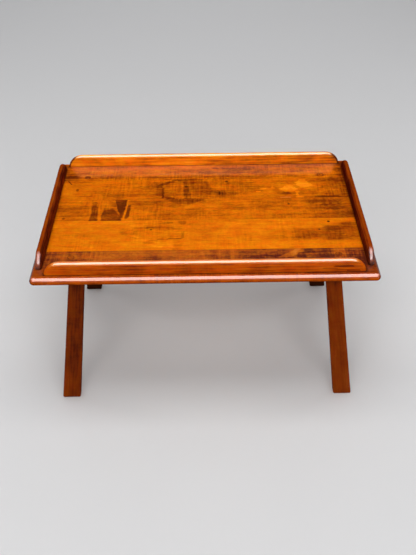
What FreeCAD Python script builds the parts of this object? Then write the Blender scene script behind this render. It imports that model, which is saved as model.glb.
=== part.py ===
import FreeCAD, Part
import os
import Sketcher
from FreeCAD import Placement, Rotation, Vector

# Low tray table: a plank top with a raised rail on each side, two battens below and four splayed legs.
# Frame: X runs along the tray, -Y is the front, +Z is up, and the origin is on the floor under the middle.

# Driving dimensions, in millimetres
SIZES = {
    # Top
    "table_height": 460,
    "tray_length": 914,
    "tray_depth": 606,
    "board_thickness": 22,
    "board_corner_radius": 12,
    "board_edge_radius": 10.5,
    "board_rear_edge_radius": 1.4,
    "front_plank_width": 126,
    "second_plank_width": 149,
    "rear_plank_width": 106,
    # Rails
    "rail_height": 37,
    "rail_thickness": 16,
    "rail_end_radius": 45,
    "rail_foot_trim": 10,
    "rail_top_radius": 7.2,
    "front_rail_setback": 19,
    "rear_rail_setback": 1.5,
    "side_rail_setback": 12,
    "front_rail_end_margin": 36,
    "rear_rail_end_margin": 31,
    "side_rail_front_margin": 43,
    "side_rail_rear_margin": 31,
    # Battens under the top
    "batten_width": 88,
    "batten_thickness": 30,
    "batten_edge_chamfer": 4,
    "batten_inset": 98.25,
    "batten_end_inset": 45,
    # Legs, with a wedged tenon at the top
    "leg_top_width": 42.5,
    "leg_foot_width": 51.5,
    "leg_thickness": 26,
    "leg_edge_radius": 4,
    "foot_edge_radius": 3.5,
    "leg_top_offset": 13.75,
    "leg_top_end_margin": 27,
    "front_leg_spread": 54,
    "rear_leg_spread": 41,
    "leg_end_spread": 27.5,
    "tenon_width": 24,
    "tenon_thickness": 14,
    "tenon_end_gap": 0.5,
    "wedge_width": 3,
    "wedge_depth": 20,
    # Dowels in the seams
    "dowel_diameter": 8,
    "dowel_length": 40,
    "dowel_chamfer": 1,
    "dowel_end_gap": 0.5,
    "dowel_row_offset": 58.75,
    # Plugs over the screws that hold the top down
    "plug_diameter": 16,
    "plug_bore_depth": 9,
    "plug_chamfer": 0.6,
    "front_plug_offset": 27,
    "rear_plug_offset": 20,
    # Screws
    "screw_diameter": 4,
    "screw_head_diameter": 8,
    "screw_point_length": 6,
    "screw_slot_width": 1.1,
    "screw_slot_depth": 1,
    "screw_sink": 0.3,
    "rail_screw_bite": 16,
    "rail_screw_margin": 40,
    "batten_screw_bite": 14,
    "top_screw_bite": 23,
    "top_screw_head_diameter": 10,
    "top_screw_head_height": 3,
    # Gap around tenons, dowels, plugs and screws
    "fit_clearance": 0.1,
}

DOWELS_PER_SEAM = 4
SCREWS_PER_LONG_RAIL = 5
COUNTERSINK_ANGLE = 90
ROUND_SHARE = 0.48
END_CURVE_SHARE = 0.975
TOLERANCE = 1e-4
LOWER, UPPER = -1, 1
SIDES = {"left": -1, "right": 1}
X_AXIS = Vector(1, 0, 0)
Y_AXIS = Vector(0, 1, 0)
Z_AXIS = Vector(0, 0, 1)


def middle_of(first, second):
    return f"(({first} + {second}) / 2)"


# Levels, as expressions of the sizes
BOARD_TOP = "Sizes.table_height"
BOARD_BOTTOM = f"({BOARD_TOP} - Sizes.board_thickness)"
BOARD_MIDDLE = f"({BOARD_TOP} - Sizes.board_thickness / 2)"
BATTEN_BOTTOM = f"({BOARD_BOTTOM} - Sizes.batten_thickness)"
TENON_TOP = f"({BOARD_BOTTOM} - Sizes.tenon_end_gap)"
PLUG_BORE_FLOOR = f"({BOARD_TOP} - Sizes.plug_bore_depth)"

# Lines across the depth, from front to rear
REAR_EDGE = "(Sizes.tray_depth / 2)"
FRONT_EDGE = f"(-{REAR_EDGE})"
SEAM_ONE = f"({FRONT_EDGE} + Sizes.front_plank_width)"
SEAM_TWO = f"({SEAM_ONE} + Sizes.second_plank_width)"
SEAM_FOUR = f"({REAR_EDGE} - Sizes.rear_plank_width)"
SEAM_THREE = middle_of(SEAM_TWO, SEAM_FOUR)
FRONT_PLUG_LINE = f"({SEAM_ONE} - Sizes.front_plug_offset)"
REAR_PLUG_LINE = f"({SEAM_FOUR} + Sizes.rear_plug_offset)"
FRONT_RAIL_LINE = f"({FRONT_EDGE} + Sizes.front_rail_setback + Sizes.rail_thickness / 2)"
REAR_RAIL_LINE = f"({REAR_EDGE} - Sizes.rear_rail_setback - Sizes.rail_thickness / 2)"
SIDE_RAIL_FRONT = f"({FRONT_EDGE} + Sizes.side_rail_front_margin)"
SIDE_RAIL_REAR = f"({REAR_EDGE} - Sizes.side_rail_rear_margin)"
SIDE_RAIL_MIDDLE = middle_of(SIDE_RAIL_FRONT, SIDE_RAIL_REAR)
FRONT_PLANK_MIDDLE = middle_of(FRONT_EDGE, SEAM_ONE)
SECOND_PLANK_MIDDLE = middle_of(SEAM_ONE, SEAM_TWO)
MIDDLE_PLANK_MIDDLE = middle_of(SEAM_TWO, SEAM_THREE)
FOURTH_PLANK_MIDDLE = middle_of(SEAM_THREE, SEAM_FOUR)
REAR_PLANK_MIDDLE = middle_of(SEAM_FOUR, REAR_EDGE)
SIDE_RAIL_SCREW_LINES = [FRONT_PLANK_MIDDLE, MIDDLE_PLANK_MIDDLE, REAR_PLANK_MIDDLE]
BATTEN_SCREW_LINES = [SECOND_PLANK_MIDDLE, MIDDLE_PLANK_MIDDLE, FOURTH_PLANK_MIDDLE]

# Lines along the length, on the right-hand side
BATTEN_LINE = "(Sizes.tray_length / 2 - Sizes.batten_inset)"
SIDE_RAIL_LINE = "(Sizes.tray_length / 2 - Sizes.side_rail_setback - Sizes.rail_thickness / 2)"
LEG_TOP_LINE = f"({BATTEN_LINE} - Sizes.leg_top_offset)"
DOWEL_ROW_END = f"({BATTEN_LINE} - Sizes.dowel_row_offset)"

# Lengths and diameters that follow from the sizes
FRONT_RAIL_LENGTH = "(Sizes.tray_length - 2 * Sizes.front_rail_end_margin)"
REAR_RAIL_LENGTH = "(Sizes.tray_length - 2 * Sizes.rear_rail_end_margin)"
SIDE_RAIL_LENGTH = f"({SIDE_RAIL_REAR} - {SIDE_RAIL_FRONT})"
BATTEN_LENGTH = "(Sizes.tray_depth - 2 * Sizes.batten_end_inset)"
THROUGH_BOARD = "Sizes.board_thickness + Sizes.fit_clearance"
THROUGH_BATTEN = "Sizes.batten_thickness + Sizes.fit_clearance"
RAIL_SCREW_LENGTH = "(Sizes.board_thickness - Sizes.screw_sink + Sizes.rail_screw_bite)"
BATTEN_SCREW_LENGTH = "(Sizes.batten_thickness - Sizes.screw_sink + Sizes.batten_screw_bite)"
TOP_SCREW_LENGTH = "(Sizes.board_thickness - Sizes.plug_bore_depth + Sizes.top_screw_bite)"
PLUG_HEIGHT = "(Sizes.plug_bore_depth - Sizes.top_screw_head_height - Sizes.fit_clearance)"
SCREW_HOLE = "Sizes.screw_diameter + 2 * Sizes.fit_clearance"
SCREW_HEAD_HOLE = "Sizes.screw_head_diameter + 2 * Sizes.screw_sink"
DOWEL_HOLE = "Sizes.dowel_diameter + 2 * Sizes.fit_clearance"
DOWEL_HOLE_DEPTH = "Sizes.dowel_length / 2 + Sizes.dowel_end_gap"
PLUG_BORE = "Sizes.plug_diameter + 2 * Sizes.fit_clearance"
EDGE_RADIUS = (f"min(Sizes.board_edge_radius; {ROUND_SHARE} * Sizes.board_thickness;"
               " Sizes.board_corner_radius - Sizes.fit_clearance)")
RAIL_TOP_RADIUS = f"min(Sizes.rail_top_radius; {ROUND_SHARE} * Sizes.rail_thickness)"
RAIL_BLANK_HEIGHT = "(Sizes.rail_height + Sizes.rail_foot_trim)"
RAIL_END_RADIUS = f"min(Sizes.rail_end_radius; {END_CURVE_SHARE} * {RAIL_BLANK_HEIGHT})"
MORTISE_WIDTH = "Sizes.tenon_width + 2 * Sizes.fit_clearance"
MORTISE_THICKNESS = "Sizes.tenon_thickness + 2 * Sizes.fit_clearance"
FOOT_EDGE_RADIUS = "min(Sizes.foot_edge_radius; Sizes.leg_edge_radius - Sizes.fit_clearance)"

# Where each leg stands: the line of its top, and the way that it leans along the depth
LEG_ENDS = {
    "front": {
        "spread": "Sizes.front_leg_spread",
        "top": f"({FRONT_EDGE} + Sizes.batten_end_inset + Sizes.leg_top_end_margin)",
        "lean": -1,
    },
    "rear": {
        "spread": "Sizes.rear_leg_spread",
        "top": f"({REAR_EDGE} - Sizes.batten_end_inset - Sizes.leg_top_end_margin)",
        "lean": 1,
    },
}

doc = FreeCAD.newDocument("TrayTable")
nodes = []


def fill_sheet():
    sheet = doc.addObject("Spreadsheet::Sheet", "Sizes")
    for row, (alias, value) in enumerate(SIZES.items(), 1):
        sheet.set(f"A{row}", alias)
        sheet.set(f"B{row}", str(value))
        sheet.setAlias(f"B{row}", alias)
    doc.recompute()


# Bodies and sketches
def new_body(label):
    body = doc.addObject("PartDesign::Body", label)
    body.Label = label
    return body


def new_node(label):
    body = new_body(label)
    nodes.append(body)
    return body


def place(item, x="0", y="0", z="0", rotation=Rotation()):
    item.Placement = Placement(Vector(), rotation)
    for axis, expression in zip("xyz", (x, y, z)):
        item.setExpression(f"Placement.Base.{axis}", expression)


def new_sketch(body, name, role, x="0", y="0", z="0"):
    sketch = body.newObject("Sketcher::SketchObject", name)
    plane = next(item for item in body.Origin.OriginFeatures if item.Role == role)
    sketch.AttachmentSupport = [(plane, "")]
    sketch.MapMode = "FlatFace"
    for axis, expression in zip("xyz", (x, y, z)):
        sketch.setExpression(f"AttachmentOffset.Base.{axis}", expression)
    return sketch


def bind(sketch, constraint, name, expression):
    index = sketch.addConstraint(constraint)
    sketch.renameConstraint(index, name)
    sketch.setExpression(f"Constraints.{name}", expression)


def draw_outline(sketch, points):
    corners = [Vector(*point) for point in points]
    count = len(corners)
    for index in range(count):
        segment = Part.LineSegment(corners[index], corners[(index + 1) % count])
        sketch.addGeometry(segment, False)
    for index in range(count):
        sketch.addConstraint(Sketcher.Constraint("Coincident", index, 2, (index + 1) % count, 1))


def set_straight(sketch, horizontal, vertical):
    for line in horizontal:
        sketch.addConstraint(Sketcher.Constraint("Horizontal", line))
    for line in vertical:
        sketch.addConstraint(Sketcher.Constraint("Vertical", line))


def draw_rectangle(sketch, width, height):
    # Centred on the sketch's origin, and drawn at any size before its sides are bound
    draw_outline(sketch, [(-2, -1), (2, -1), (2, 1), (-2, 1)])
    set_straight(sketch, horizontal=(0, 2), vertical=(1, 3))
    sketch.addConstraint(Sketcher.Constraint("Symmetric", 0, 1, 2, 1, -1, 1))
    bind(sketch, Sketcher.Constraint("DistanceX", 0, 1, 0, 2, 4.0), "width", width)
    bind(sketch, Sketcher.Constraint("DistanceY", 1, 1, 1, 2, 2.0), "height", height)


def draw_wedge(sketch, width, depth):
    # A triangle that hangs point down from the sketch's X axis
    draw_outline(sketch, [(-1, 0), (1, 0), (0, -2)])
    set_straight(sketch, horizontal=(0,), vertical=())
    sketch.addConstraint(Sketcher.Constraint("Symmetric", 0, 1, 0, 2, -1, 1))
    sketch.addConstraint(Sketcher.Constraint("PointOnObject", 1, 2, -2))
    bind(sketch, Sketcher.Constraint("DistanceX", 0, 1, 0, 2, 2.0), "width", width)
    bind(sketch, Sketcher.Constraint("DistanceY", 1, 2, -1, 1, 2.0), "depth", depth)


def draw_centres(sketch, centres):
    # Each centre is an x and a y expression, where None stands for zero
    kinds = (("DistanceX", -2), ("DistanceY", -1))
    for index, centre in enumerate(centres, 1):
        spot = Vector(index, index, 0)
        circle = sketch.addGeometry(Part.Circle(spot, Z_AXIS, 1.0), False)
        sketch.addConstraint(Sketcher.Constraint("Diameter", circle, 2.0))
        for (kind, axis), expression in zip(kinds, centre):
            if expression is None:
                sketch.addConstraint(Sketcher.Constraint("PointOnObject", circle, 3, axis))
            else:
                distance = Sketcher.Constraint(kind, -1, 1, circle, 3, float(index))
                bind(sketch, distance, f"{kind}_{index}", expression)


# Features of a body
def pad(body, sketch, name, length, symmetric=False):
    feature = body.newObject("PartDesign::Pad", name)
    feature.Profile = sketch
    feature.setExpression("Length", length)
    if symmetric:
        feature.SideType = "Symmetric"
    doc.recompute()


def loft(body, name, lower, upper, kind="PartDesign::AdditiveLoft"):
    feature = body.newObject(kind, name)
    feature.Profile = lower
    feature.Sections = [upper]
    feature.Ruled = True
    doc.recompute()


def turn(body, sketch, name):
    feature = body.newObject("PartDesign::Revolution", name)
    feature.Profile = sketch
    feature.ReferenceAxis = (sketch, ["V_Axis"])
    feature.Angle = 360
    doc.recompute()


def pocket(body, sketch, name, depth, along_normal=False, symmetric=False):
    volume_before = body.Tip.Shape.Volume
    feature = body.newObject("PartDesign::Pocket", name)
    feature.Profile = sketch
    feature.Reversed = along_normal
    feature.setExpression("Length", depth)
    if symmetric:
        feature.SideType = "Symmetric"
    doc.recompute()
    require_cut(feature, volume_before)


def drill(body, sketch, name, diameter, depth, along_normal=False, head=None):
    volume_before = body.Tip.Shape.Volume
    feature = body.newObject("PartDesign::Hole", name)
    feature.Profile = sketch
    doc.recompute()
    feature.Threaded = False
    feature.DepthType = "Dimension"
    feature.DrillPoint = "Flat"
    feature.Reversed = along_normal
    if head:
        feature.HoleCutType = "Countersink"
        feature.HoleCutCustomValues = True
        feature.HoleCutCountersinkAngle = COUNTERSINK_ANGLE
        feature.setExpression("HoleCutDiameter", head)
    feature.setExpression("Diameter", diameter)
    feature.setExpression("Depth", depth)
    doc.recompute()
    require_cut(feature, volume_before)


def require_cut(feature, volume_before):
    if feature.Shape.Volume >= volume_before:
        raise RuntimeError(f"{feature.Label} cuts nothing")


def dress(body, kind, name, size_name, size, wanted):
    # Treats the edges of the body's last feature that the test picks
    base = body.Tip
    edges = [f"Edge{index}" for index, edge in enumerate(base.Shape.Edges, 1) if wanted(edge)]
    feature = body.newObject(kind, name)
    feature.Base = (base, edges)
    feature.setExpression(size_name, size)
    doc.recompute()


def round_edges(body, name, radius, wanted):
    dress(body, "PartDesign::Fillet", name, "Radius", radius, wanted)


def bevel_edges(body, name, size, wanted):
    dress(body, "PartDesign::Chamfer", name, "Size", size, wanted)


def is_along(edge, axis):
    return edge.tangentAt(edge.FirstParameter).cross(axis).Length < TOLERANCE


def lies_in(edge, axis, level):
    return all(abs(vertex.Point.dot(axis) - level) < TOLERANCE for vertex in edge.Vertexes)


def limit_of(body, axis, end):
    levels = [vertex.Point.dot(axis) for vertex in body.Tip.Shape.Vertexes]
    return max(levels) if end == UPPER else min(levels)


def row_places(count, end):
    # Even places along a row that is centred on zero, where None stands for zero
    middle = (count - 1) / 2
    shares = [(index - middle) / middle for index in range(count)]
    return [f"{share} * {end}" if share else None for share in shares]


def rail_screw_end(length):
    return f"({length} / 2 - Sizes.rail_screw_margin)"


DOWEL_PLACES = row_places(DOWELS_PER_SEAM, DOWEL_ROW_END)
FRONT_RAIL_PLACES = row_places(SCREWS_PER_LONG_RAIL, rail_screw_end(FRONT_RAIL_LENGTH))
REAR_RAIL_PLACES = row_places(SCREWS_PER_LONG_RAIL, rail_screw_end(REAR_RAIL_LENGTH))
SIDE_RAIL_PLACES = [f"{line} - {SIDE_RAIL_MIDDLE}" for line in SIDE_RAIL_SCREW_LINES]


# Planks of the top
def plank_blank(label, front, rear):
    body = new_node(label)
    outline = new_sketch(body, f"{label}_outline", "XY_Plane", y=middle_of(front, rear), z=BOARD_BOTTOM)
    draw_rectangle(outline, "Sizes.tray_length", f"{rear} - {front}")
    pad(body, outline, f"{label}_board", "Sizes.board_thickness")
    return body


def round_plank_ends(body):
    round_edges(body, f"{body.Label}_end_noses", EDGE_RADIUS, lambda edge: is_along(edge, Y_AXIS))


def round_front_plank(body):
    front = limit_of(body, Y_AXIS, LOWER)
    rear = limit_of(body, Y_AXIS, UPPER)
    round_edges(body, "front_corners", "Sizes.board_corner_radius",
                lambda edge: is_along(edge, Z_AXIS) and lies_in(edge, Y_AXIS, front))
    levels = [limit_of(body, Z_AXIS, end) for end in (LOWER, UPPER)]
    round_edges(body, "front_and_end_noses", EDGE_RADIUS,
                lambda edge: any(lies_in(edge, Z_AXIS, level) for level in levels)
                and not lies_in(edge, Y_AXIS, rear))


def round_rear_plank(body):
    round_plank_ends(body)
    rear = limit_of(body, Y_AXIS, UPPER)
    round_edges(body, "rear_edge_easing", "Sizes.board_rear_edge_radius",
                lambda edge: lies_in(edge, Y_AXIS, rear))


def drill_dowel_row(body, seam, towards_front):
    name = f"{body.Label}_{'rear' if towards_front else 'front'}_dowel_holes"
    row = new_sketch(body, f"{name}_row", "XZ_Plane", y=BOARD_MIDDLE, z=f"-{seam}")
    draw_centres(row, [(x, None) for x in DOWEL_PLACES])
    drill(body, row, name, DOWEL_HOLE, DOWEL_HOLE_DEPTH, along_normal=towards_front)


def drill_rail_row(body, name, places, line):
    row = new_sketch(body, f"{name}_row", "XY_Plane", y=line, z=BOARD_BOTTOM)
    draw_centres(row, [(x, None) for x in places])
    drill(body, row, name, SCREW_HOLE, THROUGH_BOARD, along_normal=True, head=SCREW_HEAD_HOLE)


def drill_side_rail_pair(body, line):
    drill_rail_row(body, f"{body.Label}_side_rail_holes", [f"-{SIDE_RAIL_LINE}", SIDE_RAIL_LINE], line)


def draw_batten_pair(body, name, line, level):
    row = new_sketch(body, f"{name}_row", "XY_Plane", y=line, z=level)
    draw_centres(row, [(f"-{BATTEN_LINE}", None), (BATTEN_LINE, None)])
    return row


def drill_batten_pair(body, line):
    name = f"{body.Label}_batten_pilots"
    row = draw_batten_pair(body, name, line, BOARD_BOTTOM)
    drill(body, row, name, SCREW_HOLE, "Sizes.batten_screw_bite", along_normal=True)


def drill_plug_pair(body, line):
    bore_name = f"{body.Label}_plug_bores"
    bores = draw_batten_pair(body, bore_name, line, BOARD_TOP)
    drill(body, bores, bore_name, PLUG_BORE, "Sizes.plug_bore_depth")
    shank_name = f"{body.Label}_shank_holes"
    shanks = draw_batten_pair(body, shank_name, line, BOARD_TOP)
    drill(body, shanks, shank_name, SCREW_HOLE, THROUGH_BOARD)


def make_front_plank():
    body = plank_blank("plank_front", FRONT_EDGE, SEAM_ONE)
    round_front_plank(body)
    drill_dowel_row(body, SEAM_ONE, towards_front=True)
    drill_rail_row(body, "plank_front_rail_holes", FRONT_RAIL_PLACES, FRONT_RAIL_LINE)
    drill_side_rail_pair(body, FRONT_PLANK_MIDDLE)
    drill_plug_pair(body, FRONT_PLUG_LINE)


def make_inner_plank(label, front, rear):
    body = plank_blank(label, front, rear)
    round_plank_ends(body)
    drill_dowel_row(body, front, towards_front=False)
    drill_dowel_row(body, rear, towards_front=True)
    drill_batten_pair(body, middle_of(front, rear))
    return body


def make_rear_plank():
    body = plank_blank("plank_rear", SEAM_FOUR, REAR_EDGE)
    round_rear_plank(body)
    drill_dowel_row(body, SEAM_FOUR, towards_front=False)
    drill_rail_row(body, "plank_rear_rail_holes", REAR_RAIL_PLACES, REAR_RAIL_LINE)
    drill_side_rail_pair(body, REAR_PLANK_MIDDLE)
    drill_plug_pair(body, REAR_PLUG_LINE)


def make_planks():
    make_front_plank()
    make_inner_plank("plank_second", SEAM_ONE, SEAM_TWO)
    middle = make_inner_plank("plank_middle", SEAM_TWO, SEAM_THREE)
    drill_side_rail_pair(middle, MIDDLE_PLANK_MIDDLE)
    make_inner_plank("plank_fourth", SEAM_THREE, SEAM_FOUR)
    make_rear_plank()


# Rails that stand on the top, with curved ends and a rounded upper edge
def make_rail(label, length, screw_places, x="0", y="0", rotation=Rotation()):
    # The blank is taller than the rail, and its foot is trimmed after its ends are curved
    body = new_node(label)
    outline = new_sketch(body, f"{label}_outline", "XZ_Plane", y=f"Sizes.rail_height - {RAIL_BLANK_HEIGHT} / 2")
    draw_rectangle(outline, length, RAIL_BLANK_HEIGHT)
    pad(body, outline, f"{label}_strip", "Sizes.rail_thickness", symmetric=True)
    top = limit_of(body, Z_AXIS, UPPER)
    round_edges(body, f"{label}_end_curves", RAIL_END_RADIUS,
                lambda edge: is_along(edge, Y_AXIS) and lies_in(edge, Z_AXIS, top))
    waste = new_sketch(body, f"{label}_waste", "XZ_Plane", y="-Sizes.rail_foot_trim / 2")
    draw_rectangle(waste, length, "Sizes.rail_foot_trim")
    pocket(body, waste, f"{label}_trim", "Sizes.rail_thickness", symmetric=True)
    bottom = limit_of(body, Z_AXIS, LOWER)
    faces = [limit_of(body, Y_AXIS, end) for end in (LOWER, UPPER)]
    round_edges(body, f"{label}_top_rounds", RAIL_TOP_RADIUS,
                lambda edge: any(lies_in(edge, Y_AXIS, face) for face in faces)
                and not lies_in(edge, Z_AXIS, bottom))
    row = new_sketch(body, f"{label}_pilot_row", "XY_Plane")
    draw_centres(row, [(place_x, None) for place_x in screw_places])
    drill(body, row, f"{label}_pilots", SCREW_HOLE, "Sizes.rail_screw_bite", along_normal=True)
    place(body, x, y, BOARD_TOP, rotation)


def make_rails():
    make_rail("rail_front", FRONT_RAIL_LENGTH, FRONT_RAIL_PLACES, y=FRONT_RAIL_LINE)
    make_rail("rail_rear", REAR_RAIL_LENGTH, REAR_RAIL_PLACES, y=REAR_RAIL_LINE)
    quarter_turn = Rotation(Z_AXIS, 90)
    for name, side in SIDES.items():
        make_rail(f"rail_{name}", SIDE_RAIL_LENGTH, SIDE_RAIL_PLACES,
                  f"{side} * {SIDE_RAIL_LINE}", SIDE_RAIL_MIDDLE, quarter_turn)


# Legs and the battens that they are tenoned into
def leg_centre(end, side, height):
    # Centre of the leg at a height, on the line from its foot through its shoulder
    spec = LEG_ENDS[end]
    drop = f"(1 - ({height}) / {BATTEN_BOTTOM})"
    x = f"{side} * ({LEG_TOP_LINE} + {spec['spread']} * {drop})"
    y = f"{spec['top']} + {spec['lean']} * Sizes.leg_end_spread * {drop}"
    return x, y


def leg_section(body, name, end, side, height, width, thickness):
    x, y = leg_centre(end, side, height)
    sketch = new_sketch(body, name, "XY_Plane", x=x, y=y, z=height)
    draw_rectangle(sketch, width, thickness)
    return sketch


def leg_stretch(body, name, end, side, levels, widths, thickness, kind="PartDesign::AdditiveLoft"):
    lower, upper = [leg_section(body, f"{name}_section_{index}", end, side, level, width, thickness)
                    for index, (level, width) in enumerate(zip(levels, widths))]
    loft(body, name, lower, upper, kind)


def make_leg(end, side_name):
    side = SIDES[side_name]
    label = f"leg_{end}_{side_name}"
    body = new_node(label)
    leg_stretch(body, f"{label}_shaft", end, side, ("0", BATTEN_BOTTOM),
                ("Sizes.leg_foot_width", "Sizes.leg_top_width"), "Sizes.leg_thickness")
    leg_stretch(body, f"{label}_tenon", end, side, (BATTEN_BOTTOM, TENON_TOP),
                ("Sizes.tenon_width", "Sizes.tenon_width"), "Sizes.tenon_thickness")
    x, y = leg_centre(end, side, TENON_TOP)
    kerf = new_sketch(body, f"{label}_kerf_outline", "XZ_Plane", x=x, y=TENON_TOP, z=f"-({y})")
    draw_wedge(kerf, "Sizes.wedge_width", "Sizes.wedge_depth")
    pocket(body, kerf, f"{label}_kerf", "2 * Sizes.tenon_thickness", symmetric=True)
    half_height = limit_of(body, Z_AXIS, UPPER) / 2
    round_edges(body, f"{label}_long_edges", "Sizes.leg_edge_radius",
                lambda edge: abs(edge.Vertexes[0].Z - edge.Vertexes[-1].Z) > half_height)
    floor = limit_of(body, Z_AXIS, LOWER)
    round_edges(body, f"{label}_foot_edges", FOOT_EDGE_RADIUS, lambda edge: lies_in(edge, Z_AXIS, floor))


def make_batten(side_name):
    side = SIDES[side_name]
    label = f"batten_{side_name}"
    centre = f"{side} * {BATTEN_LINE}"
    body = new_node(label)
    outline = new_sketch(body, f"{label}_outline", "XY_Plane", x=centre, z=BATTEN_BOTTOM)
    draw_rectangle(outline, "Sizes.batten_width", BATTEN_LENGTH)
    pad(body, outline, f"{label}_board", "Sizes.batten_thickness")
    bottom = limit_of(body, Z_AXIS, LOWER)
    bevel_edges(body, f"{label}_lower_edges", "Sizes.batten_edge_chamfer",
                lambda edge: lies_in(edge, Z_AXIS, bottom))
    for end in LEG_ENDS:
        leg_stretch(body, f"{label}_{end}_mortise", end, side, (BATTEN_BOTTOM, BOARD_BOTTOM),
                    (MORTISE_WIDTH, MORTISE_WIDTH), MORTISE_THICKNESS, "PartDesign::SubtractiveLoft")
    row = new_sketch(body, f"{label}_screw_row", "XY_Plane", x=centre, z=BATTEN_BOTTOM)
    draw_centres(row, [(None, line) for line in BATTEN_SCREW_LINES])
    drill(body, row, f"{label}_screw_holes", SCREW_HOLE, THROUGH_BATTEN, along_normal=True,
          head=SCREW_HEAD_HOLE)
    pilots = new_sketch(body, f"{label}_pilot_row", "XY_Plane", x=centre, z=BOARD_BOTTOM)
    draw_centres(pilots, [(None, FRONT_PLUG_LINE), (None, REAR_PLUG_LINE)])
    drill(body, pilots, f"{label}_pilots", SCREW_HOLE, "Sizes.top_screw_bite")


def make_base():
    for side_name in SIDES:
        make_batten(side_name)
    for end in LEG_ENDS:
        for side_name in SIDES:
            make_leg(end, side_name)


# Small pieces: one pattern of each, linked to every place where it is used
def pattern_screw(label, length):
    # Countersunk screw standing point up, with the slotted face of its head on the XY plane
    body = new_body(label)
    head = "Sizes.screw_head_diameter / 2"
    shank = "Sizes.screw_diameter / 2"
    profile = new_sketch(body, f"{label}_profile", "XZ_Plane")
    draw_outline(profile, [(0, 0), (4, 0), (2, 2), (2, 30), (0, 36)])
    set_straight(profile, horizontal=(0,), vertical=(2, 4))
    profile.addConstraint(Sketcher.Constraint("Coincident", 0, 1, -1, 1))
    bind(profile, Sketcher.Constraint("DistanceX", 0, 1, 0, 2, 4.0), "head_radius", head)
    bind(profile, Sketcher.Constraint("DistanceX", -1, 1, 1, 2, 2.0), "shank_radius", shank)
    bind(profile, Sketcher.Constraint("DistanceY", -1, 1, 1, 2, 2.0), "head_height", f"{head} - {shank}")
    bind(profile, Sketcher.Constraint("DistanceY", -1, 1, 3, 2, 36.0), "length", length)
    bind(profile, Sketcher.Constraint("DistanceY", 2, 2, 3, 2, 6.0), "point", "Sizes.screw_point_length")
    turn(body, profile, f"{label}_turning")
    cut_slot(body, "0", along_normal=True)
    return body


def pattern_top_screw():
    # Cheese-head screw standing point down, with the underside of its head on the XY plane
    label = "top_screw_pattern"
    body = new_body(label)
    profile = new_sketch(body, f"{label}_profile", "XZ_Plane")
    draw_outline(profile, [(0, 3), (5, 3), (5, 0), (2, 0), (2, -30), (0, -36)])
    set_straight(profile, horizontal=(0, 2), vertical=(1, 3, 5))
    profile.addConstraint(Sketcher.Constraint("PointOnObject", 1, 2, -1))
    profile.addConstraint(Sketcher.Constraint("PointOnObject", 0, 1, -2))
    bind(profile, Sketcher.Constraint("DistanceX", -1, 1, 1, 2, 5.0), "head_radius",
         "Sizes.top_screw_head_diameter / 2")
    bind(profile, Sketcher.Constraint("DistanceX", -1, 1, 3, 1, 2.0), "shank_radius",
         "Sizes.screw_diameter / 2")
    bind(profile, Sketcher.Constraint("DistanceY", -1, 1, 0, 1, 3.0), "head_height",
         "Sizes.top_screw_head_height")
    bind(profile, Sketcher.Constraint("DistanceY", 4, 2, -1, 1, 36.0), "length", TOP_SCREW_LENGTH)
    bind(profile, Sketcher.Constraint("DistanceY", 4, 2, 4, 1, 6.0), "point", "Sizes.screw_point_length")
    turn(body, profile, f"{label}_turning")
    cut_slot(body, "Sizes.top_screw_head_height", along_normal=False)
    return body


def cut_slot(body, level, along_normal):
    outline = new_sketch(body, f"{body.Label}_slot_outline", "XY_Plane", z=level)
    draw_rectangle(outline, "2 * Sizes.top_screw_head_diameter", "Sizes.screw_slot_width")
    pocket(body, outline, f"{body.Label}_slot", "Sizes.screw_slot_depth", along_normal)


def pattern_peg(label, diameter, length, chamfer, ends):
    # Round peg along Z, with its lower end on the XY plane
    body = new_body(label)
    outline = new_sketch(body, f"{label}_outline", "XY_Plane")
    circle = outline.addGeometry(Part.Circle(Vector(), Z_AXIS, 1.0), False)
    outline.addConstraint(Sketcher.Constraint("Coincident", circle, 3, -1, 1))
    bind(outline, Sketcher.Constraint("Diameter", circle, 2.0), "diameter", diameter)
    pad(body, outline, f"{label}_stock", length)
    levels = [limit_of(body, Z_AXIS, end) for end in ends]
    bevel_edges(body, f"{label}_rims", chamfer,
                lambda edge: any(lies_in(edge, Z_AXIS, level) for level in levels))
    return body


def pattern_wedge():
    # Cut short by what the leaning tenon moves over the wedge's depth
    lean = f"Sizes.leg_end_spread * Sizes.wedge_depth / {BATTEN_BOTTOM}"
    body = new_body("wedge_pattern")
    outline = new_sketch(body, "wedge_pattern_outline", "XZ_Plane")
    draw_wedge(outline, "Sizes.wedge_width - 2 * Sizes.fit_clearance",
               "Sizes.wedge_depth * (1 - 2 * Sizes.fit_clearance / Sizes.wedge_width)")
    pad(body, outline, "wedge_pattern_strip", f"Sizes.tenon_thickness - 2 * {lean}", symmetric=True)
    return body


def make_group(label, pattern, spots, rotation=Rotation()):
    copies = []
    for index, (x, y, z) in enumerate(spots, 1):
        copy = doc.addObject("App::Link", f"{label}_{index}")
        copy.LinkedObject = pattern
        place(copy, x or "0", y, z, rotation)
        copies.append(copy)
    group = doc.addObject("Part::Compound", label)
    group.Label = label
    group.Links = copies
    nodes.append(group)


def make_dowels():
    dowel = pattern_peg("dowel_pattern", "Sizes.dowel_diameter", "Sizes.dowel_length",
                        "Sizes.dowel_chamfer", (LOWER, UPPER))
    along_y = Rotation(X_AXIS, -90)
    seams = {"front": SEAM_ONE, "second": SEAM_TWO, "third": SEAM_THREE, "rear": SEAM_FOUR}
    for name, seam in seams.items():
        spots = [(x, f"{seam} - Sizes.dowel_length / 2", BOARD_MIDDLE) for x in DOWEL_PLACES]
        make_group(f"dowels_{name}_seam", dowel, spots, along_y)


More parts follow.
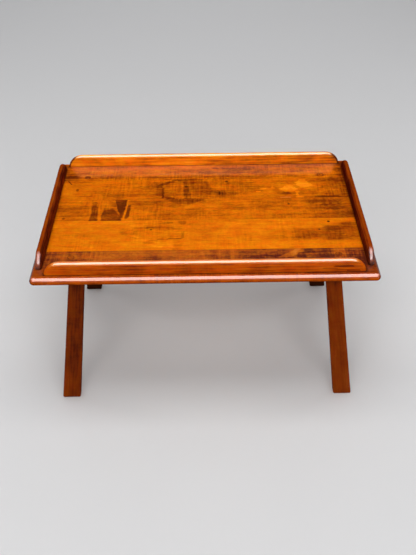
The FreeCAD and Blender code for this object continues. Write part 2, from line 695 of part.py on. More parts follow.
def make_screws():
    rail_screw = pattern_screw("rail_screw_pattern", RAIL_SCREW_LENGTH)
    rail_level = f"{BOARD_BOTTOM} + Sizes.screw_sink"
    make_group("rail_front_screws", rail_screw, [(x, FRONT_RAIL_LINE, rail_level) for x in FRONT_RAIL_PLACES])
    make_group("rail_rear_screws", rail_screw, [(x, REAR_RAIL_LINE, rail_level) for x in REAR_RAIL_PLACES])
    batten_screw = pattern_screw("batten_screw_pattern", BATTEN_SCREW_LENGTH)
    batten_level = f"{BATTEN_BOTTOM} + Sizes.screw_sink"
    for name, side in SIDES.items():
        rail_x = f"{side} * {SIDE_RAIL_LINE}"
        make_group(f"rail_{name}_screws", rail_screw, [(rail_x, y, rail_level) for y in SIDE_RAIL_SCREW_LINES])
        batten_x = f"{side} * {BATTEN_LINE}"
        make_group(f"batten_{name}_screws", batten_screw,
                   [(batten_x, y, batten_level) for y in BATTEN_SCREW_LINES])


def make_top_fixings():
    corners = [(f"{side} * {BATTEN_LINE}", line)
               for line in (FRONT_PLUG_LINE, REAR_PLUG_LINE) for side in SIDES.values()]
    make_group("top_screws", pattern_top_screw(), [(x, y, PLUG_BORE_FLOOR) for x, y in corners])
    plug = pattern_peg("plug_pattern", "Sizes.plug_diameter", PLUG_HEIGHT, "Sizes.plug_chamfer", (LOWER,))
    make_group("top_plugs", plug, [(x, y, f"{BOARD_TOP} - {PLUG_HEIGHT}") for x, y in corners])


def make_wedges():
    tops = [leg_centre(end, side, TENON_TOP) for end in LEG_ENDS for side in SIDES.values()]
    make_group("tenon_wedges", pattern_wedge(), [(x, y, TENON_TOP) for x, y in tops])


def check_document():
    for item in doc.Objects:
        if "Invalid" in item.State or "Error" in item.State:
            raise RuntimeError(f"{item.Label} failed: {item.State}")
    for node in nodes:
        if node.Shape.isNull() or not node.Shape.isValid() or not node.Shape.Solids:
            raise RuntimeError(f"{node.Label} has no valid solid")


def write_parts():
    os.makedirs("parts", exist_ok=True)
    for node in nodes:
        node.Shape.exportStep(f"parts/{node.Label}.step")


fill_sheet()
make_planks()
make_dowels()
make_rails()
make_base()
make_screws()
make_top_fixings()
make_wedges()
doc.recompute()
check_document()
write_parts()
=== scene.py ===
from math import pi, radians

import bmesh
import bpy
from bpy.props import FloatProperty, FloatVectorProperty, PointerProperty
from mathutils import Matrix, Vector


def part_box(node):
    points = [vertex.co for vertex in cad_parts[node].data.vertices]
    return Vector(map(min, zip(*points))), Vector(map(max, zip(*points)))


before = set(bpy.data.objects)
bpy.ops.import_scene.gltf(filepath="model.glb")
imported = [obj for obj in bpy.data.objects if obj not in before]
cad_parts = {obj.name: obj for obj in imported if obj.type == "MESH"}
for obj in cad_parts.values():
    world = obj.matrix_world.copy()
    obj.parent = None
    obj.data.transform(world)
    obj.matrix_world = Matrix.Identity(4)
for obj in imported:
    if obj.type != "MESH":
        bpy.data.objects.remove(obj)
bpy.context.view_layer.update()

bl_info = {
    "name": "Butlers tray table",
    "version": (1, 0, 0),
    "blender": (4, 5, 0),
    "location": "3D View > Sidebar > Tray table",
    "description": "Dresses the tray table in varnished wood, and sets up a plain stage",
    "category": "Object",
}

MILLIMETRE = 0.001

# Places on the top, in metres, read from the frame
FRONT_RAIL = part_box("rail_front")
REAR_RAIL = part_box("rail_rear")
RIGHT_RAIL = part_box("rail_right")
BOARD_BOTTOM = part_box("batten_left")[1].z
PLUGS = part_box("top_plugs")
PLUG_RADIUS = 0.008
PLUG_LINE = PLUGS[1].x - PLUG_RADIUS
FRONT_PLUG_LINE = PLUGS[0].y + PLUG_RADIUS
REAR_PLUG_LINE = PLUGS[1].y - PLUG_RADIUS

# Pieces that come in pairs
SIDES = {"left": -1, "right": 1}
LONG_RAILS = ("front", "rear")


def srgb(red, green, blue):
    """Colour as a screen shows it, 0 to 255, in the linear form that shaders use."""
    channels = [value / 255 for value in (red, green, blue)]
    linear = [c / 12.92 if c <= 0.04045 else ((c + 0.055) / 1.055) ** 2.4 for c in channels]
    return (*linear, 1.0)


# Wiring of node trees
class Wiring:
    """Adds nodes to one tree. A value that is a socket is linked, and any other is set."""

    def __init__(self, tree):
        self.tree = tree

    def feed(self, socket, value):
        if isinstance(value, bpy.types.NodeSocket):
            self.tree.links.new(value, socket)
        else:
            socket.default_value = value

    def node(self, kind, values=None, **settings):
        made = self.tree.nodes.new(kind)
        for key, value in settings.items():
            setattr(made, key, value)
        for key, value in (values or {}).items():
            self.feed(made.inputs[key], value)
        return made

    def math(self, operation, first, second=0.0, clamp=False):
        values = {0: first, 1: second}
        return self.node("ShaderNodeMath", values, operation=operation, use_clamp=clamp).outputs[0]

    def add(self, first, second):
        return self.math("ADD", first, second)

    def sub(self, first, second):
        return self.math("SUBTRACT", first, second)

    def mul(self, first, second):
        return self.math("MULTIPLY", first, second)

    def absolute(self, value):
        return self.math("ABSOLUTE", value)

    def larger(self, first, second):
        return self.math("MAXIMUM", first, second)

    def invert(self, value):
        return self.math("SUBTRACT", 1.0, value, clamp=True)

    def length(self, first, second):
        """Length of the long side of a right triangle."""
        squares = self.add(self.mul(first, first), self.mul(second, second))
        return self.math("SQRT", squares)

    def swing(self, tone, mask, amount):
        """Moves a tone up or down by a mask that is 0.5 where the tone stays."""
        return self.add(tone, self.mul(self.sub(mask, 0.5), amount))

    def step(self, value, low, high):
        """0 below low, 1 above high and smooth between them."""
        values = {"Value": value, "From Min": low, "From Max": high}
        return self.node("ShaderNodeMapRange", values, interpolation_type="SMOOTHSTEP").outputs[0]

    def past(self, value, line, reach):
        """0 before a line and 1 past it. The reach gives the start and end of the change."""
        return self.step(value, line + reach[0], line + reach[1])

    def span(self, value, low, high):
        """0 at low, 1 at high and straight between them."""
        values = {"Value": value, "From Min": low, "From Max": high}
        return self.node("ShaderNodeMapRange", values).outputs[0]

    def split(self, vector):
        return self.node("ShaderNodeSeparateXYZ", {0: vector}).outputs

    def join(self, x, y, z):
        return self.node("ShaderNodeCombineXYZ", {0: x, 1: y, 2: z}).outputs[0]

    def vector(self, operation, first, second):
        values = {0: first, 1: second}
        return self.node("ShaderNodeVectorMath", values, operation=operation).outputs[0]

    def shift(self, vector, amount):
        return self.vector("ADD", vector, self.join(amount, amount, amount))

    def noise(self, vector, scale, detail=2.0, roughness=0.5):
        values = {"Vector": vector, "Scale": scale, "Detail": detail, "Roughness": roughness}
        return self.node("ShaderNodeTexNoise", values).outputs["Fac"]

    def waver(self, vector, scale, amount, detail=2.0):
        """Noise on both sides of 0."""
        return self.mul(self.sub(self.noise(vector, scale, detail), 0.5), amount)

    def ramp(self, value, stops):
        made = self.node("ShaderNodeValToRGB", {"Fac": value})
        elements = made.color_ramp.elements
        while len(elements) < len(stops):
            elements.new(1.0)
        for element, (place, colour) in zip(elements, stops):
            element.position = place
            element.color = colour
        return made.outputs["Color"]

    def mix(self, factor, first, second):
        values = {0: factor, 6: first, 7: second}
        return self.node("ShaderNodeMix", values, data_type="RGBA").outputs[2]

    def use(self, effect, **values):
        """Places the node group of a shared effect with its own values."""
        made = self.node("ShaderNodeGroup", node_tree=effect_group(effect))
        for key, value in values.items():
            self.feed(made.inputs[key.replace("_", " ").title()], value)
        return made.outputs

    def bump(self, height, strength, distance):
        values = {"Height": height, "Strength": strength, "Distance": distance}
        return self.node("ShaderNodeBump", values).outputs["Normal"]


def new_group(name, values, outputs=("Mask",)):
    """Empty group with a vector and value inputs: its wiring, its inputs and its outputs."""
    tree = bpy.data.node_groups.new(name, "ShaderNodeTree")
    tree.interface.new_socket("Vector", in_out="INPUT", socket_type="NodeSocketVector")
    for label, default in values.items():
        socket = tree.interface.new_socket(label, in_out="INPUT", socket_type="NodeSocketFloat")
        socket.default_value = default
    for label in outputs:
        tree.interface.new_socket(label, in_out="OUTPUT", socket_type="NodeSocketFloat")
    w = Wiring(tree)
    return w, w.node("NodeGroupInput").outputs, w.node("NodeGroupOutput").inputs


# Shared effects. Scales of noise are per metre.
NOISE_RANGE = (0.3, 0.7)
CURL_WAVER, CURL_SHIFT, CURL_STRETCH = 14.0, 0.003, 0.07
RING_STRETCH, RING_SQUEEZE, LATE_WOOD_END = 1.6, 7.0, 0.86
KNOT_WAVER, RIM_PLACE, RIM_WIDTH = 45.0, 0.92, 0.14
FEATHER_WAVER = 90.0
SCRATCH_SLANTS = ((radians(24), 3.1), (radians(-38), 8.7))
SCRATCH_SCALE = (9.0, 420.0, 420.0)
SCRATCH_RANGE = (0.76, 0.82)
SCRATCHED_AREAS, SCRATCHED_RANGE = 6.0, (0.48, 0.62)
BRUSH_SCALE, BRUSH_SHARE = (6.0, 240.0, 240.0), 0.12
SKIN_WAVES = 11.0
RUBBED_AREAS, RUBBED_RANGE = 5.0, (0.42, 0.68)
DUST_SPECKS, DUST_RANGE, DUST_SHARE = 700.0, (0.72, 0.78), 0.15
GRIME_AND_SHADOW_WAVER, GRIME_AND_SHADOW_SHIFT = 70.0, 0.003
SEAM_WAVER = 9.0


def make_streaks():
    """Long soft streaks along the grain, 0 to 1."""
    defaults = {"Along": 3.0, "Across": 60.0, "Detail": 3.0, "Seed": 0.0}
    w, given, out = new_group("Streaks", defaults)
    scale = w.join(given["Along"], given["Across"], given["Across"])
    place = w.shift(w.vector("MULTIPLY", given["Vector"], scale), given["Seed"])
    w.feed(out["Mask"], w.span(w.noise(place, 1.0, given["Detail"]), *NOISE_RANGE))
    return w.tree


def make_curl():
    """Fine hair lines across the grain, as in rippled boards, 0 to 1."""
    w, given, out = new_group("Curl", {"Waves": 190.0, "Seed": 0.0})
    shifted = w.shift(given["Vector"], given["Seed"])
    x, y, z = w.split(shifted)
    wavy = w.add(x, w.waver(shifted, CURL_WAVER, CURL_SHIFT, detail=1.0))
    place = w.join(wavy, w.mul(y, CURL_STRETCH), w.mul(z, CURL_STRETCH))
    w.feed(out["Mask"], w.span(w.noise(place, given["Waves"], 1.5, roughness=0.6), *NOISE_RANGE))
    return w.tree


def make_growth_rings():
    """Growth rings round a pith line that runs along the grain. The mask is the dark late wood."""
    defaults = {"Pith Y": 0.0, "Pith Z": -0.1, "Rings": 200.0, "Wander": 0.02, "Seed": 0.0}
    w, given, out = new_group("Growth Rings", defaults)
    x, y, z = w.split(given["Vector"])
    place = w.join(w.add(w.mul(x, RING_STRETCH), given["Seed"]), w.mul(y, RING_SQUEEZE),
                   w.mul(z, RING_SQUEEZE))
    wander = w.waver(place, 1.0, given["Wander"])
    across = w.add(w.sub(y, given["Pith Y"]), wander)
    radius = w.add(w.length(across, w.sub(z, given["Pith Z"])), wander)
    share = w.math("FRACT", w.mul(radius, given["Rings"]))
    late = w.mul(w.mul(share, share), w.invert(w.step(share, LATE_WOOD_END, 1.0)))
    w.feed(out["Mask"], late)
    return w.tree


def make_knot():
    """Oval knot on a face that X and Y lie in: its rings, and a mask that fades at its rim."""
    defaults = {"Centre X": 0.0, "Centre Y": 0.0, "Length": 0.1, "Width": 0.08, "Rings": 4.0,
                "Softness": 0.3, "Wander": 0.3}
    w, given, out = new_group("Knot", defaults, outputs=("Rings", "Mask", "Rim"))
    x, y, _ = w.split(given["Vector"])
    along = w.math("DIVIDE", w.sub(x, given["Centre X"]), given["Length"])
    across = w.math("DIVIDE", w.sub(y, given["Centre Y"]), given["Width"])
    radius = w.mul(w.length(along, across), 2.0)
    wavy = w.add(radius, w.waver(given["Vector"], KNOT_WAVER, given["Wander"]))
    turn = w.mul(w.mul(wavy, given["Rings"]), 2 * pi)
    rings = w.span(w.math("SINE", turn), -1.0, 1.0)
    mask = w.invert(w.step(wavy, w.sub(1.0, given["Softness"]), 1.0))
    w.feed(out["Rings"], w.mul(rings, mask))
    w.feed(out["Mask"], mask)
    w.feed(out["Rim"], w.invert(w.step(w.absolute(w.sub(wavy, RIM_PLACE)), 0.0, RIM_WIDTH)))
    return w.tree


def make_feather():
    """Slanted patch between two straight edges, each with its X at the front and rear line."""
    defaults = {"Front": 0.0, "Rear": 0.1, "Left Front": 0.0, "Left Rear": 0.0, "Right Front": 0.02,
                "Right Rear": 0.02, "Depth Front": 1.0, "Depth Rear": 1.0, "Softness": 0.003,
                "Wander": 0.007}
    w, given, out = new_group("Feather", defaults)
    x, y, _ = w.split(given["Vector"])
    wavy = w.add(x, w.waver(given["Vector"], FEATHER_WAVER, given["Wander"]))
    share = w.span(y, given["Front"], given["Rear"])

    def along(name):
        low, high = given[f"{name} Front"], given[f"{name} Rear"]
        return w.add(low, w.mul(share, w.sub(high, low)))

    soft = given["Softness"]
    left, right = along("Left"), along("Right")
    after = w.step(wavy, w.sub(left, soft), w.add(left, soft))
    before = w.invert(w.step(wavy, w.sub(right, soft), w.add(right, soft)))
    inside = w.mul(w.step(y, w.sub(given["Front"], soft), given["Front"]),
                   w.invert(w.step(y, given["Rear"], w.add(given["Rear"], soft))))
    w.feed(out["Mask"], w.mul(w.mul(w.mul(after, before), inside), along("Depth")))
    return w.tree


def make_scratches():
    """Short fine scratches that cross the grain at two slants."""
    w, given, out = new_group("Scratches", {"Amount": 0.5, "Seed": 0.0})
    found = []
    for turn, seed in SCRATCH_SLANTS:
        values = {"Vector": given["Vector"], "Rotation": (0.0, 0.0, turn), "Scale": SCRATCH_SCALE}
        place = w.node("ShaderNodeMapping", values).outputs[0]
        line = w.noise(w.shift(place, w.add(given["Seed"], seed)), 1.0, detail=0.0)
        found.append(w.step(line, *SCRATCH_RANGE))
    area = w.step(w.noise(given["Vector"], SCRATCHED_AREAS), *SCRATCHED_RANGE)
    w.feed(out["Mask"], w.mul(w.mul(w.larger(*found), area), given["Amount"]))
    return w.tree


def make_varnish():
    """Skin of brushed varnish: a share for roughness, and a height for brush marks and waves."""
    w, given, out = new_group("Varnish", {"Seed": 0.0}, outputs=("Dullness", "Height"))
    shifted = w.shift(given["Vector"], given["Seed"])
    brush = w.noise(w.vector("MULTIPLY", shifted, BRUSH_SCALE), 1.0, detail=1.0)
    waves = w.noise(shifted, SKIN_WAVES, detail=1.0)
    rubbed = w.step(w.noise(shifted, RUBBED_AREAS, detail=3.0), *RUBBED_RANGE)
    dust = w.step(w.noise(shifted, DUST_SPECKS, detail=0.0), *DUST_RANGE)
    w.feed(out["Dullness"], w.larger(rubbed, dust))
    marks = w.add(waves, w.mul(brush, BRUSH_SHARE))
    w.feed(out["Height"], w.add(marks, w.mul(dust, DUST_SHARE)))
    return w.tree


def make_foot_grime_and_shadow():
    """Dark line of grime and painted contact shadow round the foot of a piece on the top, from its
    centre and half sizes.
    """
    defaults = {"Centre X": 0.0, "Centre Y": 0.0, "Half X": 0.1, "Half Y": 0.01, "Reach": 0.004}
    w, given, out = new_group("Foot Grime And Shadow", defaults)
    x, y, _ = w.split(given["Vector"])
    beyond = []
    for value, name in ((x, "X"), (y, "Y")):
        offset = w.absolute(w.sub(value, given[f"Centre {name}"]))
        beyond.append(w.sub(offset, given[f"Half {name}"]))
    uneven = w.mul(w.noise(given["Vector"], GRIME_AND_SHADOW_WAVER), GRIME_AND_SHADOW_SHIFT)
    distance = w.add(w.larger(*beyond), uneven)
    w.feed(out["Mask"], w.invert(w.step(distance, 0.0, given["Reach"])))
    return w.tree


def make_ring_line():
    """Thin dark ring round a plug."""
    defaults = {"Centre X": 0.0, "Centre Y": 0.0, "Radius": 0.008, "Width": 0.001}
    w, given, out = new_group("Ring Line", defaults)
    x, y, _ = w.split(given["Vector"])
    radius = w.length(w.sub(x, given["Centre X"]), w.sub(y, given["Centre Y"]))
    off = w.absolute(w.sub(radius, given["Radius"]))
    w.feed(out["Mask"], w.invert(w.step(off, 0.0, given["Width"])))
    return w.tree


def make_seam_lines():
    """Dark line along both long edges of a plank, each with its own depth."""
    defaults = {"Front": 0.0, "Rear": 0.1, "Front Depth": 0.5, "Rear Depth": 0.5, "Width": 0.001}
    w, given, out = new_group("Seam Lines", defaults)
    x, y, _ = w.split(given["Vector"])
    uneven = w.add(0.5, w.noise(w.join(w.mul(x, SEAM_WAVER), 0.0, 0.0), 1.0))
    reach = w.mul(given["Width"], uneven)
    lines = []
    for name in ("Front", "Rear"):
        off = w.absolute(w.sub(y, given[name]))
        lines.append(w.mul(w.invert(w.step(off, 0.0, reach)), given[f"{name} Depth"]))
    w.feed(out["Mask"], w.larger(*lines))
    return w.tree


EFFECTS = {
    "Streaks": make_streaks,
    "Curl": make_curl,
    "Growth Rings": make_growth_rings,
    "Knot": make_knot,
    "Feather": make_feather,
    "Scratches": make_scratches,
    "Varnish": make_varnish,
    "Foot Grime And Shadow": make_foot_grime_and_shadow,
    "Ring Line": make_ring_line,
    "Seam Lines": make_seam_lines,
}


def effect_group(name):
    """Node group of an effect, made once, when a material first needs it."""
    return bpy.data.node_groups.get(name) or EFFECTS[name]()


# Materials
BLACK_BROWN = srgb(46, 18, 6)
SEAM_BROWN = srgb(96, 40, 6)
SCRATCH_TAN = srgb(240, 160, 80)
# Pinkish colour of the painted reflection of the rear rail in the varnish of the top
RAIL_REFLECTION_PINK = srgb(226, 158, 136)
# Pale cream of worn ridges, laid where the varnish's highlight falls, so partly a painted highlight
CREAM_WEAR_AND_HIGHLIGHT = srgb(252, 196, 112)

# Tones of a varnished stain: place on the ramp, and shares of the middle tone's red, green and blue
STAIN_TONES = ((0.0, (0.2, 0.15, 1.3)), (0.2, (0.4, 0.33, 1.4)), (0.36, (0.7, 0.67, 1.2)),
               (0.52, (1.0, 1.0, 1.0)), (0.76, (1.24, 1.42, 1.5)), (1.0, (1.42, 1.95, 4.5)))
BARE_TONES = ((0.0, 0.3), (0.3, 0.64), (0.52, 1.0), (1.0, 1.5))

# Streaks of each kind, per metre along and across the grain
BANDS = {"along": 3.2, "across": 15.0}
CLOUDS = {"along": 18.0, "across": 36.0}
MOTTLE = {"along": 110.0, "across": 140.0, "detail": 2.0}
FIBRES = {"along": 16.0, "across": 360.0, "detail": 2.0}
HUES = {"along": 34.0, "across": 80.0}
RUBBED = {"along": 9.0, "across": 90.0}
LIVELY = {"along": 26.0, "across": 40.0}
TURNED_STEEL = {"along": 900.0, "across": 2400.0, "detail": 2.0}

# First seed of each kind of piece, and the step from one piece to the next
SEEDS = {"rail": (17.0, 2.3), "leg": (29.0, 3.7), "batten": (47.0, 3.1)}
PLUG_SEED, PEG_SEED, STEEL_SEED = 61.0, 67.0, 71.0

CLOUD_SHARE = 0.8
MOTTLE_SHARE = 0.8
RINGS_PER_METRE = 110.0
END_RINGS_PER_METRE = 330.0
MEAN_LATE_WOOD = 0.25
CURL_AREAS, CURL_RANGE = 9.0, (0.35, 0.65)
STAIN_DRIFT, LEG_DRIFT = 0.4, 0.3

# Varnish: what its skin and its scratches add to roughness and relief, and its coat
SKIN_DULLNESS, SCRATCH_DULLNESS = 0.14, 0.2
GRAIN_RELIEF, SCRATCH_RELIEF = 0.04, -0.12
SCRATCH_AMOUNT = 0.6
SKIN_STRENGTH, SKIN_HEIGHT = 0.15, 0.0012
HARD_COAT, SOFT_COAT = 0.1, 0.2
COAT_IOR = 1.6

# Ranges of one part of a face's normal, from where a change starts to where it is full
INNER_FACE = (0.25, 0.8)
ROUND_END = (0.2, 0.55)
REAR_FACE = (0.2, 0.7)
NOSE = (-0.05, -0.7)
WORN_AND_LIT_CURVE = (0.5, 0.62)
LEVEL_RIDGE = (0.95, 0.99)
PLANK_END = (0.3, 0.75)
LIP_CURVE = (-0.8, 0.2)
UNDERSIDE = (-0.55, -0.92)
LEVEL_TOP = (0.98, 0.999)
ROUND_EDGE = (0.1, 0.4)


def new_material(name):
    material = bpy.data.materials.new(name)
    material.use_nodes = True
    return material, Wiring(material.node_tree), material.node_tree.nodes["Principled BSDF"]


def dress(material, *names):
    for name in names:
        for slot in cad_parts[name].material_slots:
            slot.material = material


def seed_of(kind, index):
    first, step = SEEDS[kind]
    return first + step * index


def stain_ramp(colour):
    """Ramp from the deepest to the palest tone. Deep tones are redder, pale ones yellower."""
    stops = []
    for place, shares in STAIN_TONES:
        stops.append((place, (*[c * share for c, share in zip(colour, shares)], 1.0)))
    return stops


def bare_ramp(colour):
    """Ramp for wood without varnish, which keeps its hue in deep tones."""
    return [(place, (*[c * share for c in colour], 1.0)) for place, share in BARE_TONES]


def grain_vector(w, order, slope=(0.0, 0.0)):
    """Object coordinates, turned so that X runs along the grain, and sheared on a leaning piece."""
    place = w.node("ShaderNodeTexCoord").outputs["Object"]
    if order == "xyz":
        return place
    parts = dict(zip("xyz", w.split(place)))
    along, across, through = [parts[axis] for axis in order]
    if any(slope):
        across = w.sub(across, w.mul(along, slope[0]))
        through = w.sub(through, w.mul(along, slope[1]))
    return w.join(along, across, through)


def streaks(w, place, seed, kind):
    return w.use("Streaks", vector=place, seed=seed, **kind)["Mask"]


def figured_tone(w, place, seed, level, broad, fibre, curl, rings, pith=(0.0, -0.12)):
    """Tone of the wood from bands, clouds, fibres, ripple and late wood, and a fine relief."""
    bands = streaks(w, place, seed, BANDS)
    clouds = streaks(w, place, seed + 9, CLOUDS)
    mottle = streaks(w, place, seed + 6, MOTTLE)
    fibres = streaks(w, place, seed + 4, FIBRES)
    waves = w.use("Curl", vector=place, seed=seed)["Mask"]
    strong = w.step(w.noise(place, CURL_AREAS), *CURL_RANGE)
    late = w.use("Growth Rings", vector=place, pith_y=pith[0], pith_z=pith[1],
                 rings=RINGS_PER_METRE, seed=seed)["Mask"]
    tone = w.swing(level, bands, broad)
    tone = w.swing(tone, clouds, broad * CLOUD_SHARE)
    tone = w.swing(tone, fibres, fibre)
    tone = w.swing(tone, mottle, curl * MOTTLE_SHARE)
    tone = w.add(tone, w.mul(w.mul(w.sub(waves, 0.5), strong), curl))
    tone = w.sub(tone, w.mul(w.sub(late, MEAN_LATE_WOOD), rings))
    return tone, w.add(fibres, waves)


def paint(w, colour, mask, shade, strength):
    return w.mix(w.mul(mask, strength), colour, shade)


def paint_spots(w, place, colour, spots, shade):
    """Small dark marks, each with its place, length, width and strength."""
    for x, y, length, width, strength in spots:
        mask = w.use("Knot", vector=place, centre_x=x, centre_y=y, length=length, width=width,
                     softness=0.55, wander=0.5)["Mask"]
        colour = paint(w, colour, mask, shade, strength)
    return colour


def paint_scratch(w, place, colour, scratch, shade, strength):
    front, rear, left, right = scratch
    mask = w.use("Feather", vector=place, front=front, rear=rear, left_front=left[0],
                 left_rear=left[1], right_front=right[0], right_rear=right[1],
                 softness=0.0015)["Mask"]
    return paint(w, colour, mask, shade, strength)


def shift_feathers(w, place, tone, feathers, wander=0.007):
    """Slanted patches that change the tone.

    Each has its front and rear line, the X of its left and of its right edge at these lines,
    the change of tone at these lines, and a softness.
    """
    for front, rear, left, right, change, softness in feathers:
        mask = w.use("Feather", vector=place, front=front, rear=rear, left_front=left[0],
                     left_rear=left[1], right_front=right[0], right_rear=right[1],
                     depth_front=change[0], depth_rear=change[1], softness=softness,
                     wander=wander)["Mask"]
        tone = w.add(tone, mask)
    return tone


def shift_clouds(w, place, tone, clouds):
    """Soft ovals: place, length, width and change of tone."""
    for x, y, length, width, change in clouds:
        mask = w.use("Knot", vector=place, centre_x=x, centre_y=y, length=length, width=width,
                     softness=0.95, wander=0.9)["Mask"]
        tone = w.add(tone, w.mul(mask, change))
    return tone


def drift_hue(w, place, colour, seed, amount):
    """Turns a stain a little yellower or redder from place to place."""
    green = w.swing(1.0, streaks(w, place, seed + 12, HUES), amount)
    return w.vector("MULTIPLY", colour, w.join(1.0, green, 1.0))


def facing_parts(w):
    return w.split(w.node("ShaderNodeNewGeometry").outputs["Normal"])


def finish_wood(w, shader, place, colour, seed, relief, wood, gloss, coat=HARD_COAT):
    """Varnish over a stained colour. The gloss is the weight of the varnish."""
    skin = w.use("Varnish", vector=place, seed=seed)
    marks = w.use("Scratches", vector=place, amount=SCRATCH_AMOUNT, seed=seed)["Mask"]
    roughness = w.add(wood.roughness, w.mul(skin["Dullness"], SKIN_DULLNESS))
    roughness = w.add(roughness, w.mul(marks, SCRATCH_DULLNESS))
    lines = w.add(w.mul(relief, GRAIN_RELIEF), w.mul(marks, SCRATCH_RELIEF))
    skin_normal = w.bump(w.add(skin["Height"], lines), SKIN_STRENGTH, SKIN_HEIGHT)
    w.feed(shader.inputs["Base Color"], colour)
    w.feed(shader.inputs["Normal"], skin_normal)
    w.feed(shader.inputs["Coat Weight"], gloss)
    w.feed(shader.inputs["Roughness"], roughness)
    shader.inputs["Coat Roughness"].default_value = coat
    shader.inputs["Coat IOR"].default_value = COAT_IOR
    shader.inputs["Specular IOR Level"].default_value = 0.0


def plain_wood(name, order, seed, colour, wood, level=0.5):
    material, w, shader = new_material(name)
    place = grain_vector(w, order)
    tone, relief = figured_tone(w, place, seed, level, broad=0.34, fibre=0.18, curl=0.3, rings=0.2)
    stain = w.ramp(tone, stain_ramp(colour))
    finish_wood(w, shader, place, stain, seed, relief, wood, wood.side_gloss)
    return material


# Rails. Heights are in metres from the top or the foot of a rail.
RIDGE = (-0.009, -0.005)
FOOT_LINE = (0.0, 0.0035)
NOSE_FOOT = (0.002, 0.014)
INNER_FACE_PAINTED_SHADE = 0.3
REAR_END_PAINTED_SHADE = 0.6
# Paler ridges of the rails: wear, and partly a painted highlight
LONG_RAIL_WEAR_AND_SHEEN, SIDE_RAIL_WEAR_AND_SHEEN = 0.34, 0.16
RUB_LEAST, CREAM_AND_HIGHLIGHT_LEAST = 0.4, 0.5
FOOT_GRIME_AND_SHADOW, NOSE_GRIME_AND_SHADOW, RIDGE_CREAM_AND_HIGHLIGHT = 0.55, 0.85, 0.4
SIDE_GLOSS_SHARE = 0.5

# Dark streaks at the right of the front rail, placed by height and X
RAIL_STREAKS = (
    (0.4765, 0.4795, (0.332, 0.336), (0.386, 0.382), (-0.42, -0.42), 0.0012),
    (0.471, 0.473, (0.304, 0.306), (0.344, 0.342), (-0.3, -0.3), 0.0012),
    (0.463, 0.4655, (0.368, 0.37), (0.404, 0.402), (-0.36, -0.36), 0.0012),
)


def rail_wood(name, order, seed, colour, wood):
    """Rail with a paler ridge, worn and partly a painted highlight. The side rails carry painted
    shade on their inner faces, and the rear rail on its rounded ends.
    """
    low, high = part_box(f"rail_{name}")
    on_side = name in SIDES
    material, w, shader = new_material(f"rail_{name}_wood")
    place = grain_vector(w, order)
    facing = facing_parts(w)
    height = w.split(w.node("ShaderNodeTexCoord").outputs["Object"])[2]
    tone, relief = figured_tone(w, place, seed, 0.5, broad=0.44, fibre=0.3, curl=0.06, rings=0.25)
    turned = w.step(w.absolute(facing[0]), *ROUND_END)
    if on_side:
        # Painted shade on the inner face of a side rail
        shaded_inner_face = w.step(w.mul(facing[0], -SIDES[name]), *INNER_FACE)
        tone = w.sub(tone, w.mul(shaded_inner_face, INNER_FACE_PAINTED_SHADE))
    elif name == "rear":
        # Painted shade on the rear rail's rounded ends
        tone = w.sub(tone, w.mul(turned, REAR_END_PAINTED_SHADE))
    else:
        x, y, z = w.split(place)
        tone = shift_feathers(w, w.join(x, z, y), tone, RAIL_STREAKS)
    ridge = w.past(height, high.z, RIDGE)
    rubbed = streaks(w, place, seed + 2, RUBBED)
    # The paler ridge is wear, and partly a painted highlight
    wear_and_sheen = SIDE_RAIL_WEAR_AND_SHEEN if on_side else LONG_RAIL_WEAR_AND_SHEEN
    tone = w.add(tone, w.mul(w.mul(ridge, w.add(RUB_LEAST, rubbed)), wear_and_sheen))
    stain = w.ramp(tone, stain_ramp(colour))
    # The rear rail's inner face is painted paler as lit, and its outer face keeps the plain rail
    # stain
    if name == "rear":
        behind = w.ramp(tone, stain_ramp(wood.rail))
        stain = w.mix(w.step(facing[1], *REAR_FACE), stain, behind)
    stain = drift_hue(w, place, stain, seed, STAIN_DRIFT)
    # Grime and painted contact shadow along the foot of the rail
    foot = w.invert(w.past(height, low.z, FOOT_LINE))
    stain = paint(w, stain, foot, BLACK_BROWN, FOOT_GRIME_AND_SHADOW)
    if on_side:
        polished = w.step(facing[1], *NOSE)
        # Grime and painted shadow at the foot of a side rail's nose
        shaded_nose_foot = w.mul(polished, w.invert(w.past(height, low.z, NOSE_FOOT)))
        stain = paint(w, stain, shaded_nose_foot, BLACK_BROWN, NOSE_GRIME_AND_SHADOW)
    else:
        polished = w.mul(ridge, w.invert(turned))
        # Cream on the front of the long rails' ridges: wear, and a painted highlight
        curve = w.step(facing[2], *WORN_AND_LIT_CURVE)
        worn_and_lit = w.mul(curve, w.invert(w.step(facing[2], *LEVEL_RIDGE)))
        worn_and_lit = w.mul(worn_and_lit, w.invert(turned))
        uneven = w.add(CREAM_AND_HIGHLIGHT_LEAST, w.mul(rubbed, 1.0 - CREAM_AND_HIGHLIGHT_LEAST))
        stain = paint(w, stain, w.mul(worn_and_lit, uneven), CREAM_WEAR_AND_HIGHLIGHT, RIDGE_CREAM_AND_HIGHLIGHT)
    dull = SIDE_GLOSS_SHARE * wood.side_gloss if on_side else wood.side_gloss
    gloss = w.add(dull, w.mul(polished, wood.edge_gloss - dull))
    coat = SOFT_COAT if on_side else HARD_COAT
    finish_wood(w, shader, place, stain, seed, relief, wood, gloss, coat)
    return material


# Marks of each plank, in metres
SECOND_SPOTS = ((0.351, -0.046, 0.011, 0.012, 0.9), (0.321, -0.085, 0.009, 0.01, 0.8),
                (-0.15, -0.076, 0.01, 0.011, 0.7))
MIDDLE_SPOTS = ((0.247, 0.05, 0.011, 0.014, 0.75), (-0.404, -0.014, 0.012, 0.014, 0.6))
FOURTH_SPOTS = ((0.069, 0.182, 0.014, 0.014, 0.75), (0.046, 0.114, 0.009, 0.028, 0.8),
                (0.055, 0.113, 0.007, 0.024, 0.5), (-0.382, 0.143, 0.012, 0.02, 0.6),
                (-0.054, 0.155, 0.016, 0.016, 0.75))

